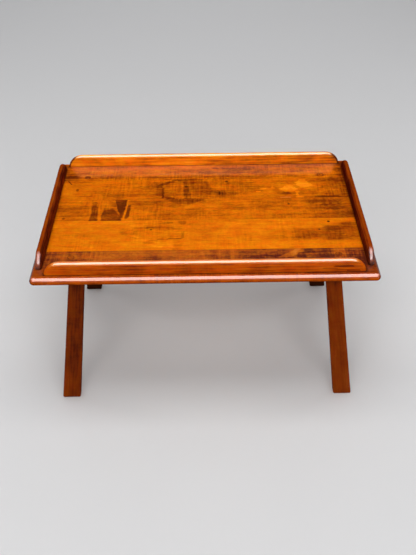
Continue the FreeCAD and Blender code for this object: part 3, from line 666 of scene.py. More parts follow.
# Dark and light feathers of the figure that two seams cut off in the middle plank
BOW_FIGURE = (
    (-0.028, 0.003, (-0.33, -0.327), (-0.306, -0.307), (-0.46, -0.36), 0.003),
    (0.006, 0.072, (-0.327, -0.328), (-0.308, -0.315), (-0.4, -0.26), 0.003),
    (-0.028, -0.008, (-0.296, -0.298), (-0.237, -0.24), (-0.44, -0.32), 0.003),
    (-0.005, 0.038, (-0.297, -0.291), (-0.242, -0.266), (-0.34, -0.2), 0.003),
    (-0.028, -0.018, (-0.252, -0.25), (-0.237, -0.239), (-0.14, -0.08), 0.003),
    (-0.012, 0.036, (-0.24, -0.253), (-0.235, -0.23), (-0.34, -0.44), 0.002),
    (0.038, 0.085, (-0.253, -0.263), (-0.23, -0.2265), (-0.44, -0.38), 0.002),
    (0.05, 0.085, (-0.272, -0.284), (-0.254, -0.263), (-0.12, -0.18), 0.006),
    (-0.022, 0.085, (-0.2345, -0.2265), (-0.2295, -0.221), (0.14, 0.14), 0.002),
    (-0.018, -0.004, (-0.229, -0.227), (-0.222, -0.216), (-0.3, -0.4), 0.002),
    (-0.002, 0.056, (-0.227, -0.223), (-0.216, -0.2145), (-0.42, -0.3), 0.002),
)
MIDDLE_CLOUDS = ((0.38, 0.066, 0.28, 0.06, -0.2), (0.37, 0.02, 0.24, 0.08, -0.2),
                 (0.03, 0.0, 0.16, 0.06, -0.04), (-0.38, 0.05, 0.12, 0.1, -0.1),
                 (-0.15, 0.07, 0.06, 0.024, -0.12), (0.2, 0.03, 0.2, 0.1, -0.06),
                 (0.33, 0.06, 0.16, 0.055, -0.24))

# Pale flakes in the fourth plank, at the right
LIGHT_FLAKES = (
    (0.12, 0.131, (0.24, 0.222), (0.266, 0.281), (0.32, 0.38), 0.003),
    (0.134, 0.146, (0.22, 0.24), (0.281, 0.268), (0.42, 0.38), 0.003),
    (0.149, 0.158, (0.243, 0.254), (0.268, 0.26), (0.36, 0.22), 0.003),
    (0.143, 0.152, (0.292, 0.283), (0.303, 0.332), (0.32, 0.4), 0.003),
    (0.155, 0.17, (0.28, 0.279), (0.331, 0.316), (0.42, 0.38), 0.003),
    (0.173, 0.19, (0.279, 0.294), (0.316, 0.311), (0.38, 0.24), 0.003),
    (0.134, 0.141, (0.162, 0.166), (0.182, 0.19), (0.3, 0.36), 0.003),
    (0.141, 0.148, (0.2, 0.2), (0.211, 0.209), (0.26, 0.3), 0.003),
    (0.119, 0.124, (0.155, 0.157), (0.168, 0.17), (0.34, 0.34), 0.002),
    (0.11, 0.136, (0.172, 0.176), (0.204, 0.21), (0.1, 0.16), 0.006),
    (0.096, 0.122, (0.275, 0.274), (0.284, 0.283), (0.34, 0.24), 0.002),
    (0.086, 0.094, (0.278, 0.276), (0.295, 0.291), (0.34, 0.3), 0.002),
)

# Marks in and round the dark oval that the third seam crosses
OVAL_MARKS = (
    (0.09, 0.15, (-0.1265, -0.1275), (-0.1195, -0.1205), (-0.34, -0.22), 0.002),
    (0.105, 0.16, (-0.142, -0.145), (-0.128, -0.126), (-0.12, -0.18), 0.005),
    (0.164, 0.19, (-0.144, -0.104), (-0.122, -0.086), (-0.2, -0.2), 0.004),
    (0.193, 0.198, (-0.1, -0.098), (-0.002, -0.002), (-0.26, -0.26), 0.003),
    (0.138, 0.184, (-0.06, -0.066), (0.026, 0.008), (-0.22, -0.18), 0.006),
    (0.1, 0.132, (-0.03, -0.03), (0.02, 0.028), (-0.1, -0.16), 0.006),
    (0.088, 0.134, (-0.056, -0.062), (-0.036, -0.044), (-0.18, -0.22), 0.004),
    (0.062, 0.08, (-0.086, -0.114), (-0.03, 0.002), (-0.16, -0.24), 0.008),
    (0.087, 0.098, (-0.116, -0.122), (-0.084, -0.104), (-0.24, -0.18), 0.006),
    (0.095, 0.128, (0.036, 0.034), (0.062, 0.064), (-0.14, -0.1), 0.006),
)
OVAL_CLOUDS = ((-0.14, 0.1, 0.08, 0.03, -0.1), (-0.095, 0.14, 0.06, 0.05, 0.08))
FOURTH_CLOUDS = ((-0.15, 0.165, 0.16, 0.07, -0.18), (0.07, 0.11, 0.18, 0.06, -0.14),
                 (0.12, 0.16, 0.22, 0.07, -0.12), (0.38, 0.113, 0.18, 0.06, 0.22),
                 (0.246, 0.11, 0.056, 0.026, -0.2), (0.36, 0.088, 0.14, 0.012, -0.4))
SECOND_CLOUDS = ((0.02, -0.09, 0.12, 0.1, -0.06), (-0.13, -0.14, 0.14, 0.06, 0.05))

# Swirl in the second plank, left of the middle
SECOND_SWIRL = (
    (-0.1305, -0.1275, (-0.152, -0.15), (-0.132, -0.13), (-0.2, -0.2), 0.003),
    (-0.127, -0.124, (-0.132, -0.13), (-0.102, -0.1), (-0.24, -0.24), 0.003),
    (-0.1235, -0.1205, (-0.104, -0.1), (-0.066, -0.064), (-0.32, -0.32), 0.003),
    (-0.118, -0.09, (-0.066, -0.065), (-0.058, -0.058), (-0.26, -0.16), 0.003),
    (-0.069, -0.064, (-0.165, -0.163), (-0.125, -0.125), (-0.12, -0.12), 0.003),
    (-0.047, -0.037, (-0.074, -0.073), (-0.05, -0.052), (-0.18, -0.18), 0.004),
    (-0.044, -0.04, (-0.119, -0.12), (-0.09, -0.09), (-0.2, -0.2), 0.003),
    (-0.143, -0.137, (-0.167, -0.168), (-0.138, -0.14), (-0.22, -0.22), 0.004),
    (-0.174, -0.152, (-0.086, -0.088), (-0.06, -0.062), (-0.2, -0.16), 0.005),
    (-0.1, -0.068, (-0.24, -0.24), (-0.222, -0.224), (-0.12, -0.14), 0.006),
    (-0.06, -0.05, (-0.212, -0.21), (-0.168, -0.17), (0.12, 0.12), 0.004),
    (-0.13, -0.106, (-0.172, -0.207), (-0.158, -0.19), (0.12, 0.12), 0.005),
    (-0.162, -0.149, (-0.13, -0.17), (-0.105, -0.14), (0.14, 0.12), 0.005),
    (-0.163, -0.133, (-0.1, -0.106), (-0.082, -0.09), (0.12, 0.1), 0.004),
    (-0.073, -0.06, (-0.062, -0.062), (-0.036, -0.04), (0.12, 0.14), 0.004),
)

# Dark patches at the right of the second plank, and along the front plank
SECOND_PATCHES = (
    (-0.13, -0.072, (0.332, 0.335), (0.38, 0.382), (-0.36, -0.38), 0.014),
    (-0.126, -0.056, (0.379, 0.382), (0.425, 0.425), (-0.24, -0.42), 0.016),
    (-0.124, -0.084, (0.25, 0.25), (0.332, 0.335), (-0.32, -0.24), 0.016),
    (-0.12, -0.09, (0.16, 0.17), (0.25, 0.25), (-0.1, -0.1), 0.016),
)
FRONT_PATCHES = (
    (-0.285, -0.177, (-0.44, -0.44), (-0.4, -0.39), (-0.14, -0.24), 0.014),
    (-0.285, -0.177, (-0.372, -0.372), (-0.318, -0.314), (-0.06, -0.16), 0.01),
    (-0.27, -0.18, (-0.168, -0.158), (-0.122, -0.122), (-0.3, -0.14), 0.012),
    (-0.285, -0.177, (0.004, 0.006), (0.034, 0.034), (-0.18, -0.16), 0.008),
    (-0.285, -0.177, (0.052, 0.054), (0.068, 0.068), (-0.1, -0.12), 0.005),
    (-0.285, -0.177, (0.07, 0.068), (0.082, 0.08), (0.1, 0.12), 0.004),
    (-0.285, -0.177, (0.092, 0.092), (0.12, 0.12), (-0.12, -0.16), 0.012),
    (-0.285, -0.177, (0.12, 0.12), (0.2, 0.206), (-0.18, -0.24), 0.012),
    (-0.285, -0.177, (0.2, 0.206), (0.246, 0.236), (-0.12, -0.24), 0.012),
    (-0.214, -0.198, (0.196, 0.222), (0.234, 0.25), (0.34, 0.36), 0.005),
    (-0.195, -0.178, (0.226, 0.246), (0.244, 0.262), (0.36, 0.3), 0.004),
    (-0.216, -0.196, (0.245, 0.25), (0.272, 0.268), (-0.36, -0.3), 0.004),
    (-0.196, -0.178, (0.268, 0.27), (0.296, 0.292), (-0.22, -0.26), 0.005),
    (-0.22, -0.206, (0.272, 0.272), (0.3, 0.296), (0.1, 0.04), 0.006),
    (-0.285, -0.177, (0.262, 0.264), (0.304, 0.304), (-0.28, -0.26), 0.01),
    (-0.285, -0.177, (0.304, 0.304), (0.346, 0.344), (-0.3, -0.36), 0.008),
    (-0.285, -0.177, (0.372, 0.382), (0.44, 0.44), (-0.3, -0.34), 0.012),
)
REAR_CLOUDS = ((-0.4, 0.222, 0.09, 0.03, -0.34), (-0.3, 0.214, 0.1, 0.02, -0.16),
               (0.425, 0.24, 0.06, 0.12, -0.3), (0.035, 0.266, 0.03, 0.018, -0.3),
               (0.06, 0.26, 0.02, 0.012, -0.2), (-0.12, 0.212, 0.2, 0.02, -0.12),
               (0.36, 0.217, 0.05, 0.034, -0.5))

# Two scratches in the fourth plank: front and rear line, and the X of both edges at these lines
CORNER_SCRATCH = (0.176, 0.206, (-0.405, -0.425), (-0.401, -0.421))
PALE_SCRATCH = (0.0866, 0.0876, (0.224, 0.225), (0.256, 0.257))

# Strips of darker tone, in metres from a rail or from the middle of the length. Behind the front
# rail and in the rear corners this is painted shade.
BEHIND_RAIL, BEHIND_RAIL_PAINTED_SHADE = (0.044, 0.072), 0.2
RIGHT_END, MIDDLE_END_SHADE, FOURTH_END_SHADE = (0.28, 0.43), 0.14, 0.26
REAR_CORNER, REAR_CORNER_PAINTED_SHADE = (-0.02, 0.004), 0.17
BAND_SLANT = 0.4


def front_figure(w, place, tone):
    # Painted shade of the front rail on the plank just behind it
    rail_shadow_band = w.invert(w.past(w.split(place)[1], FRONT_RAIL[1].y, BEHIND_RAIL))
    tone = w.sub(tone, w.mul(rail_shadow_band, BEHIND_RAIL_PAINTED_SHADE))
    return shift_feathers(w, place, tone, FRONT_PATCHES)


def second_figure(w, place, tone):
    eye = w.use("Knot", vector=place, centre_x=-0.14, centre_y=-0.093, length=0.18, width=0.06,
                rings=2.0, softness=0.4, wander=0.5)
    tone = w.sub(tone, w.mul(eye["Rim"], 0.09))
    tone = w.sub(tone, w.mul(eye["Rings"], 0.06))
    tone = shift_clouds(w, place, tone, SECOND_CLOUDS)
    tone = shift_feathers(w, place, tone, SECOND_SWIRL, wander=0.012)
    return shift_feathers(w, place, tone, SECOND_PATCHES)


def shade_oval(w, place, tone):
    """Dark oval that the third seam crosses."""
    oval = w.use("Knot", vector=place, centre_x=-0.048, centre_y=0.128, length=0.165, width=0.15,
                 rings=2.0, softness=0.3, wander=0.35)
    tone = w.sub(tone, w.mul(oval["Mask"], 0.06))
    tone = w.sub(tone, w.mul(oval["Rim"], 0.05))
    return shift_feathers(w, place, shift_clouds(w, place, tone, OVAL_CLOUDS), OVAL_MARKS)


def darker_right(w, place, tone, depth):
    """Tone that darkens towards the right end."""
    return w.sub(tone, w.mul(w.step(w.split(place)[0], *RIGHT_END), depth))


def middle_figure(w, place, tone):
    tone = darker_right(w, place, tone, MIDDLE_END_SHADE)
    tone = shift_clouds(w, place, tone, MIDDLE_CLOUDS)
    return shift_feathers(w, place, shade_oval(w, place, tone), BOW_FIGURE)


def fourth_figure(w, place, tone):
    tone = darker_right(w, place, tone, FOURTH_END_SHADE)
    tone = shift_clouds(w, place, tone, FOURTH_CLOUDS)
    return shift_feathers(w, place, shade_oval(w, place, tone), LIGHT_FLAKES, wander=0.024)


def past_rail_ends(w, place, reach):
    """0 in front of the rear rail, where its reflection is painted, and 1 past its ends. The band
    narrows towards the front.
    """
    x, y, _ = w.split(place)
    sideways = w.add(w.absolute(x), w.mul(w.sub(REAR_RAIL[0].y, y), BAND_SLANT))
    return w.past(sideways, REAR_RAIL[1].x, reach)


def rear_figure(w, place, tone):
    # Painted shade: the rear corners past the rail's ends, outside its painted reflection, are
    # darker
    unreflected_corners = past_rail_ends(w, place, REAR_CORNER)
    tone = w.sub(tone, w.mul(unreflected_corners, REAR_CORNER_PAINTED_SHADE))
    return shift_clouds(w, place, tone, REAR_CLOUDS)


# Depth of the dark line at the front and the rear seam of each plank
SEAM_DEPTHS = {"front": (0.0, 0.5), "second": (0.5, 0.12), "middle": (0.12, 0.2),
               "fourth": (0.2, 0.12), "rear": (0.12, 0.0)}

# For each plank: seed, tone, shares of broad bands, curl and rings, its figure and its spots
PLANKS = {
    "front": (3.0, 0.57, 0.2, 0.3, 0.14, front_figure, ()),
    "second": (5.5, 0.63, 0.24, 0.18, 0.1, second_figure, SECOND_SPOTS),
    "middle": (8.2, 0.47, 0.28, 0.2, 0.12, middle_figure, MIDDLE_SPOTS),
    "fourth": (11.9, 0.455, 0.24, 0.2, 0.12, fourth_figure, FOURTH_SPOTS),
    "rear": (14.3, 0.47, 0.36, 0.22, 0.22, rear_figure, ()),
}
SEAM_WIDTH = 0.0016
GRIME_AND_SHADOW_REACH = 0.006
END_SHADE = 0.012
PLUG_RING_WIDTH = 0.003
PITH_DEPTH, END_PITH_DEPTH = 0.06, 0.05
PLANK_FIBRE = 0.2
RAIL_GRIME_AND_SHADOW, RAIL_END_SHADOW, PLUG_GRIME = 0.75, 0.9, 0.7
CORNER_MARK, PALE_MARK = 0.85, 0.4
# Painted reflection of the rear rail: its band, where it ends past the rail, its least share and
# its strength
REFLECTION_BAND, REFLECTION_END = (0.205, 0.25), (-0.02, 0.0)
REFLECTION_LEAST, REFLECTION_SHARE = 0.6, 0.08
END_GRAIN_TONE = 0.34

# Where the stain of the edges takes over, in metres from a rail. Outside the side rails and at the
# front corners the darker edge stain is partly painted shade.
OUTER_STRIP = (-0.004, 0.006)
CORNER_STRIP = (-0.002, 0.008)
CORNER_REAR = (-0.006, 0.012)
FRONT_LIP = (-0.012, 0.0)
REAR_LIP = (-0.008, -0.002)
EDGE_STAIN, LIP_STAIN, END_STAIN = 0.8, 0.85, 0.85
EDGE_PAINTED_SHADE = 0.06

# Tone of a lip: its lowest, and what streaks, the plank's tone and the upward curve add. The rise
# along the upward curve is painted shade: the lip darkens as it turns under.
LIP_LOWEST, LIP_STREAKS, LIP_TONE, LIP_PAINTED_SHADE_RISE = -0.3, 0.3, 0.4, 0.4


def rail_grime_and_shadow(w, place, rail, reach, wider=0.0, deeper=0.0):
    """Grime and painted contact shadow out to a distance from the foot of a rail."""
    centre, half = (rail[0] + rail[1]) / 2, (rail[1] - rail[0]) / 2
    return w.use("Foot Grime And Shadow", vector=place, centre_x=centre.x, centre_y=centre.y,
                 half_x=half.x + wider, half_y=half.y + deeper, reach=reach)["Mask"]


def soil_and_shade_plank(w, name, place, colour):
    """Dark seams, grime and painted contact shadow round the rails, and grime round the plugs."""
    low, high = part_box(f"plank_{name}")
    front_depth, rear_depth = SEAM_DEPTHS[name]
    seams = w.use("Seam Lines", vector=place, front=low.y, rear=high.y, front_depth=front_depth,
                  rear_depth=rear_depth, width=SEAM_WIDTH)["Mask"]
    colour = w.mix(seams, colour, SEAM_BROWN)
    x, y, z = w.split(place)
    mirrored = w.join(w.absolute(x), y, z)
    for rail in (RIGHT_RAIL, FRONT_RAIL, REAR_RAIL):
        grime_and_shadow = rail_grime_and_shadow(w, mirrored, rail, GRIME_AND_SHADOW_REACH)
        colour = paint(w, colour, grime_and_shadow, BLACK_BROWN, RAIL_GRIME_AND_SHADOW)
    if name == "front":
        # Painted contact shadow at both ends of the front rail
        shade = rail_grime_and_shadow(w, mirrored, FRONT_RAIL, END_SHADE, END_SHADE / 3, -END_SHADE / 2)
        colour = paint(w, colour, shade, BLACK_BROWN, RAIL_END_SHADOW)
    for line in (FRONT_PLUG_LINE, REAR_PLUG_LINE):
        if low.y < line < high.y:
            ring = w.use("Ring Line", vector=mirrored, centre_x=PLUG_LINE, centre_y=line,
                         radius=PLUG_RADIUS, width=PLUG_RING_WIDTH)["Mask"]
            colour = paint(w, colour, ring, BLACK_BROWN, PLUG_GRIME)
    return colour


def paint_rail_reflection(w, place, colour, seed):
    """Painted reflection of the rear rail: a pinkish band on the top in front of it."""
    uneven = w.add(REFLECTION_LEAST, w.use("Streaks", vector=place, seed=seed)["Mask"])
    reflection = w.mul(w.step(w.split(place)[1], *REFLECTION_BAND), uneven)
    reflection = w.mul(reflection, w.invert(past_rail_ends(w, place, REFLECTION_END)))
    return paint(w, colour, reflection, RAIL_REFLECTION_PINK, REFLECTION_SHARE)


def stain_edges(w, name, place, colour, tone, seed, wood):
    """Redder stain outside the side rails, partly painted shade, and on the lips in front and
    behind, with painted shade where the lips turn under.
    """
    x, y, _ = w.split(place)
    outer = w.past(w.absolute(x), RIGHT_RAIL[0].x, OUTER_STRIP)
    if name == "front":
        corner = w.past(w.absolute(x), FRONT_RAIL[1].x, CORNER_STRIP)
        corner = w.mul(corner, w.invert(w.past(y, RIGHT_RAIL[0].y, CORNER_REAR)))
        outer = w.larger(outer, corner)
    edge_stain = w.ramp(w.sub(tone, EDGE_PAINTED_SHADE), stain_ramp(wood.side_rail))
    colour = w.mix(w.mul(outer, EDGE_STAIN), colour, edge_stain)
    if name == "front":
        lip = w.invert(w.past(y, FRONT_RAIL[0].y, FRONT_LIP))
    elif name == "rear":
        lip = w.past(y, REAR_RAIL[1].y, REAR_LIP)
    else:
        return colour
    # Painted shade: the lip darkens as it turns down and under
    upward_lit = w.step(facing_parts(w)[2], *LIP_CURVE)
    lively = streaks(w, place, seed + 7, LIVELY)
    lip_tone = w.add(w.mul(lively, LIP_STREAKS), w.mul(tone, LIP_TONE))
    lip_tone = w.add(lip_tone, w.add(w.mul(upward_lit, LIP_PAINTED_SHADE_RISE), LIP_LOWEST))
    return w.mix(w.mul(lip, LIP_STAIN), colour, w.ramp(lip_tone, stain_ramp(wood.rail)))


def plank_wood(name, wood):
    """Plank with its figure and marks, stained edges, dark end grain and a bare underside, with
    painted shade and shadow, and on the rear plank a painted reflection.
    """
    seed, level, broad, curl, rings, figure, spots = PLANKS[name]
    low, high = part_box(f"plank_{name}")
    middle = (low.y + high.y) / 2
    material, w, shader = new_material(f"plank_{name}_wood")
    place = grain_vector(w, "xyz")
    facing = facing_parts(w)
    tone, relief = figured_tone(w, place, seed, level, broad, PLANK_FIBRE, curl, rings,
                                pith=(middle, BOARD_BOTTOM - PITH_DEPTH))
    stain = wood.front_plank if name == "front" else wood.honey
    colour = w.ramp(figure(w, place, tone), stain_ramp(stain))
    colour = drift_hue(w, place, colour, seed, STAIN_DRIFT)
    colour = paint_spots(w, place, colour, spots, BLACK_BROWN)
    if name == "fourth":
        colour = paint_scratch(w, place, colour, CORNER_SCRATCH, BLACK_BROWN, CORNER_MARK)
        colour = paint_scratch(w, place, colour, PALE_SCRATCH, SCRATCH_TAN, PALE_MARK)
    colour = soil_and_shade_plank(w, name, place, colour)
    if name == "rear":
        # Painted reflection of the rear rail on the rear plank
        colour = paint_rail_reflection(w, place, colour, seed)
    colour = stain_edges(w, name, place, colour, tone, seed, wood)
    arcs = w.use("Growth Rings", vector=place, pith_y=middle, pith_z=BOARD_BOTTOM - END_PITH_DEPTH,
                 rings=END_RINGS_PER_METRE, wander=0.004, seed=seed)["Mask"]
    end_tone = w.mul(w.invert(arcs), END_GRAIN_TONE)
    end_grain = w.ramp(end_tone, stain_ramp(wood.side_rail))
    ends = w.step(w.absolute(facing[0]), *PLANK_END)
    colour = w.mix(w.mul(ends, END_STAIN), colour, end_grain)
    bare = w.ramp(tone, bare_ramp(wood.underside))
    colour = w.mix(w.step(facing[2], *UNDERSIDE), colour, bare)
    flat = w.step(facing[2], *LEVEL_TOP)
    edge = w.mul(w.step(facing[2], *ROUND_EDGE), w.invert(flat))
    gloss = w.add(w.mul(flat, wood.top_gloss), w.mul(edge, wood.edge_gloss))
    coat = SOFT_COAT if name == "front" else HARD_COAT
    finish_wood(w, shader, place, colour, seed, relief, wood, gloss, coat)
    return material


# Legs. Heights, and distances from the middle line of a leg, are in metres.
LEG_EDGE = (0.008, 0.02)
LEG_UPPER = (0.08, 0.36)
LEG_TOP = (0.37, 0.42)
SHADED_REAR_FOOT = (0.02, 0.1)
# Painted light on the outer leg edges, painted shade at the leg tops and the rear feet
LEG_EDGE_PAINTED_LIGHT, LEG_TOP_PAINTED_SHADE, FOOT_PAINTED_SHADE = 0.12, 0.2, 0.95

# For the legs of each side: tone, and how much darker the upper half is, partly darker stain and
# partly painted shade under the top
LEG_TONES = {"left": (0.46, 0.14), "right": (0.59, 0.02)}


def leg_line(name):
    """Middle of a leg's foot, and how far the leg moves along X and Y for each metre of height."""
    points = [vertex.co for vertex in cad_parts[name].data.vertices]
    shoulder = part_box("batten_left")[0].z
    ends = []
    for level in (0.0, shoulder):
        near = [point for point in points if abs(point.z - level) < MILLIMETRE]
        ends.append(sum(near, Vector()) / len(near))
    run = ends[1] - ends[0]
    return ends[0], (run.x / run.z, run.y / run.z)


def leg_wood(name, seed, wood):
    """Leg with long streaks, a paler outer edge that is painted light, and a darker top that is
    painted shade. The rear feet are darkened with painted shade.
    """
    end, side = name.split("_")
    level, upper_stain_and_shade = LEG_TONES[side]
    material, w, shader = new_material(f"leg_{name}_wood")
    foot, slope = leg_line(f"leg_{name}")
    place = grain_vector(w, "zxy", slope)
    height, across, _ = w.split(place)
    tone, relief = figured_tone(w, place, seed, level, broad=0.3, fibre=0.2, curl=0.08, rings=0.1)
    # Painted light: the outer edge of each leg is paler
    outer = w.step(w.mul(w.sub(across, foot.x), SIDES[side]), *LEG_EDGE)
    tone = w.add(tone, w.mul(outer, LEG_EDGE_PAINTED_LIGHT))
    # The upper legs are darker: partly stain, partly painted shade under the top
    tone = w.sub(tone, w.mul(w.step(height, *LEG_UPPER), upper_stain_and_shade))
    # Painted shade just under the top
    tone = w.sub(tone, w.mul(w.step(height, *LEG_TOP), LEG_TOP_PAINTED_SHADE))
    colour = drift_hue(w, place, w.ramp(tone, stain_ramp(wood.leg)), seed, LEG_DRIFT)
    if end == "rear":
        # Painted shade on the rear feet
        foot_shade = w.invert(w.step(height, *SHADED_REAR_FOOT))
        colour = paint(w, colour, foot_shade, BLACK_BROWN, FOOT_PAINTED_SHADE)
    gloss = SIDE_GLOSS_SHARE * wood.side_gloss
    finish_wood(w, shader, place, colour, seed, relief, wood, gloss)
    return material


# Steel of the screws
DARK_STEEL, PALE_STEEL = srgb(120, 118, 116), srgb(186, 184, 180)
RUST_BROWN = srgb(96, 54, 30)
RUST_AREAS, RUST_RANGE, RUST_SHARE, RUST_METAL_LOSS = 260.0, (0.52, 0.7), 0.7, 0.6
STEEL_ROUGHNESS, RUST_ROUGHNESS = 0.32, 0.35
STEEL_STRENGTH, STEEL_HEIGHT = 0.2, 0.0002


# Stage
FLOOR_RADIUS = 30.0
FLOOR_SEGMENTS = 96
FLOOR_ROUGHNESS = 0.9

# Each lamp: name, place, point that it faces, width and height, and the setting of its brightness
LAMPS = (
    ("overhead_panel", (0.0, -0.35, 3.0), (0.0, -0.1, 0.4), (2.6, 1.3), "panel_level"),
    ("front_panel", (0.0, -3.0, 2.6), (0.0, 0.0, 0.45), (3.2, 1.6), "front_level"),
    ("side_panel", (-2.9, 1.2, 1.5), (0.0, 0.0, 0.4), (1.2, 1.6), "side_level"),
    ("side_panel", (2.9, 1.2, 1.5), (0.0, 0.0, 0.4), (1.2, 1.6), "side_level"),
    ("gloss_panel", (0.0, -1.0, 3.2), (0.0, 0.0, 0.46), (6.0, 5.6), "gloss_level"),
    ("rear_panel", (0.0, 4.2, 3.6), (0.0, 2.6, 0.0), (5.0, 2.0), "rear_level"),
)

# Grey of the surroundings, from the ground up
SURROUNDINGS = ((0.0, srgb(205, 205, 207)), (0.16, srgb(200, 200, 202)), (0.4, srgb(40, 40, 42)),
                (0.75, srgb(40, 40, 42)), (0.95, srgb(150, 150, 153)))


def make_floor(settings):
    """Round pale floor that can't be seen from below."""
    mesh = bpy.data.meshes.new("floor")
    shape = bmesh.new()
    bmesh.ops.create_circle(shape, cap_ends=True, radius=FLOOR_RADIUS, segments=FLOOR_SEGMENTS)
    shape.to_mesh(mesh)
    shape.free()
    floor = bpy.data.objects.new("floor", mesh)
    bpy.context.scene.collection.objects.link(floor)
    material, w, shader = new_material("pale_floor")
    shader.inputs["Base Color"].default_value = (*settings.floor_colour, 1.0)
    shader.inputs["Roughness"].default_value = FLOOR_ROUGHNESS
    shader.inputs["Specular IOR Level"].default_value = 0.0
    clear = w.node("ShaderNodeBsdfTransparent").outputs[0]
    below = w.node("ShaderNodeNewGeometry").outputs["Backfacing"]
    shown = w.node("ShaderNodeMixShader", {0: below, 1: shader.outputs[0], 2: clear}).outputs[0]
    w.feed(material.node_tree.nodes["Material Output"].inputs["Surface"], shown)
    mesh.materials.append(material)


def make_lamps(settings):
    for name, place, aim, size, level in LAMPS:
        data = bpy.data.lights.new(name, "AREA")
        data.shape = "RECTANGLE"
        data.size, data.size_y = size
        data.energy = getattr(settings, level) * pi * size[0] * size[1]
        lamp = bpy.data.objects.new(name, data)
        lamp.location = place
        lamp.rotation_euler = (Vector(aim) - Vector(place)).to_track_quat("-Z", "Y").to_euler()
        lamp.visible_diffuse = name != "gloss_panel"
        lamp.visible_glossy = name != "rear_panel"
        bpy.context.scene.collection.objects.link(lamp)


def make_surroundings():
    world = bpy.data.worlds.new("studio")
    world.use_nodes = True
    w = Wiring(world.node_tree)
    height = w.split(w.node("ShaderNodeTexCoord").outputs["Generated"])[2]
    background = world.node_tree.nodes["Background"]
    w.feed(background.inputs["Color"], w.ramp(height, SURROUNDINGS))
    bpy.context.scene.world = world


def make_camera(settings):
    data = bpy.data.cameras.new("photo_camera")
    data.lens = settings.lens
    camera = bpy.data.objects.new("photo_camera", data)
    yaw = Matrix.Rotation(settings.yaw, 4, "Z")
    pitch = Matrix.Rotation(pi / 2 - settings.pitch, 4, "X")
    roll = Matrix.Rotation(settings.roll, 4, "Z")
    camera.matrix_world = Matrix.Translation(settings.eye) @ yaw @ pitch @ roll
    bpy.context.scene.collection.objects.link(camera)
    bpy.context.scene.camera = camera


# Operators
class TRAY_OT_planks(bpy.types.Operator):
    """Stain and varnish the five planks of the top"""
    bl_idname = "traytable.planks"
    bl_label = "Dress the planks"

    def execute(self, context):
        for name in PLANKS:
            dress(plank_wood(name, context.scene.tray_wood), f"plank_{name}")
        return {"FINISHED"}


class TRAY_OT_rails(bpy.types.Operator):
    """Stain and varnish the four rails"""
    bl_idname = "traytable.rails"
    bl_label = "Dress the rails"

    def execute(self, context):
        wood = context.scene.tray_wood
        colours = {"front": wood.rail, "rear": wood.rear_rail_lit}
        for index, name in enumerate((*LONG_RAILS, *SIDES)):
            order = "xyz" if name in LONG_RAILS else "yxz"
            colour = colours.get(name, wood.side_rail)
            dress(rail_wood(name, order, seed_of("rail", index), colour, wood), f"rail_{name}")
        return {"FINISHED"}


class TRAY_OT_legs(bpy.types.Operator):
    """Stain and varnish the four legs"""
    bl_idname = "traytable.legs"
    bl_label = "Dress the legs"

    def execute(self, context):
        wood = context.scene.tray_wood
        names = [f"{end}_{side}" for end in ("front", "rear") for side in SIDES]
        for index, name in enumerate(names):
            dress(leg_wood(name, seed_of("leg", index), wood), f"leg_{name}")
        return {"FINISHED"}


class TRAY_OT_battens(bpy.types.Operator):
    """Stain the battens under the top in a near-black brown that is painted shade"""
    bl_idname = "traytable.battens"
    bl_label = "Dress the battens"

    def execute(self, context):
        wood = context.scene.tray_wood
        for index, side in enumerate(SIDES):
            name = f"batten_{side}"
            seed = seed_of("batten", index)
            dress(plain_wood(f"{name}_wood", "yxz", seed, wood.batten, wood), name)
        return {"FINISHED"}


class TRAY_OT_pegs(bpy.types.Operator):
    """Finish the plugs, the dowels and the wedges"""
    bl_idname = "traytable.pegs"
    bl_label = "Dress the pegs"

    def execute(self, context):
        wood = context.scene.tray_wood
        plugs = plain_wood("plug_wood", "xyz", PLUG_SEED, wood.front_plank, wood, level=0.42)
        dress(plugs, "top_plugs")
        pegs = plain_wood("peg_wood", "yxz", PEG_SEED, wood.peg, wood)
        dowels = [f"dowels_{seam}_seam" for seam in ("front", "second", "third", "rear")]
        dress(pegs, "tenon_wedges", *dowels)
        return {"FINISHED"}


class TRAY_OT_screws(bpy.types.Operator):
    """Finish the screws in dulled steel"""
    bl_idname = "traytable.screws"
    bl_label = "Dress the screws"

    def execute(self, context):
        material, w, shader = new_material("dulled_steel")
        place = grain_vector(w, "xyz")
        turned = streaks(w, place, STEEL_SEED, TURNED_STEEL)
        rust = w.step(w.noise(place, RUST_AREAS, detail=3.0), *RUST_RANGE)
        steel = w.ramp(turned, ((0.0, DARK_STEEL), (1.0, PALE_STEEL)))
        metal = w.sub(1.0, w.mul(rust, RUST_METAL_LOSS))
        roughness = w.add(STEEL_ROUGHNESS, w.mul(rust, RUST_ROUGHNESS))
        relief = w.bump(w.add(turned, rust), STEEL_STRENGTH, STEEL_HEIGHT)
        w.feed(shader.inputs["Base Color"], paint(w, steel, rust, RUST_BROWN, RUST_SHARE))
        w.feed(shader.inputs["Metallic"], metal)
        w.feed(shader.inputs["Roughness"], roughness)
        w.feed(shader.inputs["Normal"], relief)
        rails = [f"rail_{name}_screws" for name in (*LONG_RAILS, *SIDES)]
        battens = [f"batten_{side}_screws" for side in SIDES]
        dress(material, "top_screws", *battens, *rails)
        return {"FINISHED"}


class TRAY_OT_stage(bpy.types.Operator):
    """Make the floor, the lamps, the surroundings and the camera"""
    bl_idname = "traytable.stage"
    bl_label = "Set the stage"

    def execute(self, context):
        settings = context.scene.tray_stage
        make_floor(settings)
        make_lamps(settings)
        make_surroundings()
        make_camera(settings)
        context.scene.view_settings.view_transform = "Standard"
        return {"FINISHED"}


# Settings
def colour_property(name, description, colour):
    return FloatVectorProperty(name=name, description=description, subtype="COLOR",
                               default=colour[:3], min=0.0, max=1.0)


def share_property(name, description, default):
    return FloatProperty(name=name, description=description, subtype="FACTOR", default=default,
                         min=0.0, max=1.0)


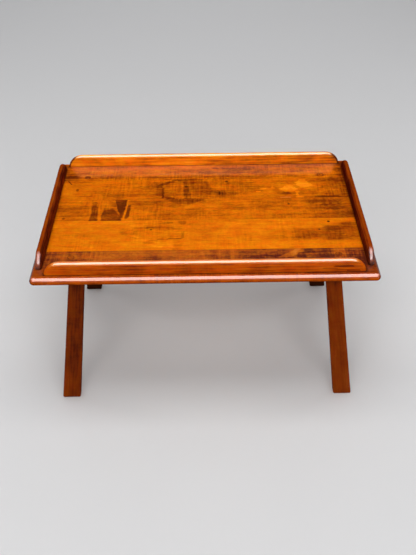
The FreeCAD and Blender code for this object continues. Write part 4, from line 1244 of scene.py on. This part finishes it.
def angle_property(name, description, degrees):
    return FloatProperty(name=name, description=description, subtype="ANGLE",
                         default=radians(degrees))


def level_property(name, lamp, default):
    return FloatProperty(name=name, description=f"Brightness of the {lamp}", default=default)


class TrayWood(bpy.types.PropertyGroup):
    """Stains and varnish"""
    honey: colour_property("Honey", "Middle tone of the planks", srgb(212, 104, 4))
    front_plank: colour_property("Front plank", "Middle tone of the darker front plank",
                                 srgb(180, 86, 14))
    rail: colour_property("Rail", "Middle tone of the rails", srgb(190, 79, 4))
    # Paler tone of the rear rail's inner face: painted light over the rail stain
    rear_rail_lit: colour_property("Rear rail", "Middle tone of the paler rear rail",
                               srgb(224, 121, 14))
    side_rail: colour_property("Side rail", "Middle tone of the darker side rails",
                               srgb(134, 52, 4))
    leg: colour_property("Leg", "Middle tone of the legs", srgb(120, 46, 6))
    underside: colour_property("Underside", "Middle tone of the unvarnished underside",
                               srgb(158, 98, 48))
    # The battens' near-black brown is painted shade under the top
    batten: colour_property("Batten", "Middle tone of the battens", srgb(74, 34, 12))
    peg: colour_property("Peg", "Middle tone of the dowels and wedges", srgb(200, 160, 108))
    top_gloss: share_property("Top gloss", "Weight of the varnish on flat tops", 0.18)
    edge_gloss: share_property("Edge gloss", "Weight of the varnish on rounded edges", 0.88)
    side_gloss: share_property("Side gloss", "Weight of the varnish on upright faces", 0.05)
    roughness: share_property("Roughness", "Roughness of the wood under the varnish", 0.34)


class TrayStage(bpy.types.PropertyGroup):
    """Camera, floor and light"""
    eye: FloatVectorProperty(name="Eye", description="Where the camera stands",
                             subtype="TRANSLATION", unit="LENGTH",
                             default=(0.00535, -1.96082, 1.72185), precision=5)
    pitch: angle_property("Pitch", "How far the camera looks down", 37.2453)
    yaw: angle_property("Yaw", "Turn of the camera about the vertical", -0.0787)
    roll: angle_property("Roll", "Tilt of the picture", -0.7506)
    lens: FloatProperty(name="Lens", description="Focal length for a 36 mm sensor",
                        subtype="DISTANCE_CAMERA", default=52.41)
    floor_colour: colour_property("Floor colour", "Colour of the floor", (0.74, 0.74, 0.745))
    panel_level: level_property("Panel level", "overhead panel", 3.6)
    front_level: level_property("Front level", "front panel", 4.4)
    side_level: level_property("Side level", "side panels", 2.0)
    gloss_level: level_property("Gloss level", "panel that the varnish mirrors", 8.5)
    rear_level: level_property("Rear level", "panel behind", 2.0)


class TRAY_PT_panel(bpy.types.Panel):
    """Buttons of the tray table"""
    bl_idname = "TRAY_PT_panel"
    bl_label = "Tray table"
    bl_space_type = "VIEW_3D"
    bl_region_type = "UI"
    bl_category = "Tray table"

    def draw(self, context):
        for operator in OPERATORS:
            self.layout.operator(operator.bl_idname)
        for settings in (context.scene.tray_wood, context.scene.tray_stage):
            for name in type(settings).__annotations__:
                self.layout.prop(settings, name)


OPERATORS = (TRAY_OT_planks, TRAY_OT_rails, TRAY_OT_legs, TRAY_OT_battens, TRAY_OT_pegs,
             TRAY_OT_screws, TRAY_OT_stage)
CLASSES = (TrayWood, TrayStage, *OPERATORS, TRAY_PT_panel)


def register():
    for item in CLASSES:
        bpy.utils.register_class(item)
    bpy.types.Scene.tray_wood = PointerProperty(type=TrayWood)
    bpy.types.Scene.tray_stage = PointerProperty(type=TrayStage)


def unregister():
    del bpy.types.Scene.tray_stage
    del bpy.types.Scene.tray_wood
    for item in reversed(CLASSES):
        bpy.utils.unregister_class(item)


def main():
    register()
    bpy.ops.traytable.planks()
    bpy.ops.traytable.rails()
    bpy.ops.traytable.legs()
    bpy.ops.traytable.battens()
    bpy.ops.traytable.pegs()
    bpy.ops.traytable.screws()
    bpy.ops.traytable.stage()


if __name__ == "__main__":
    main()
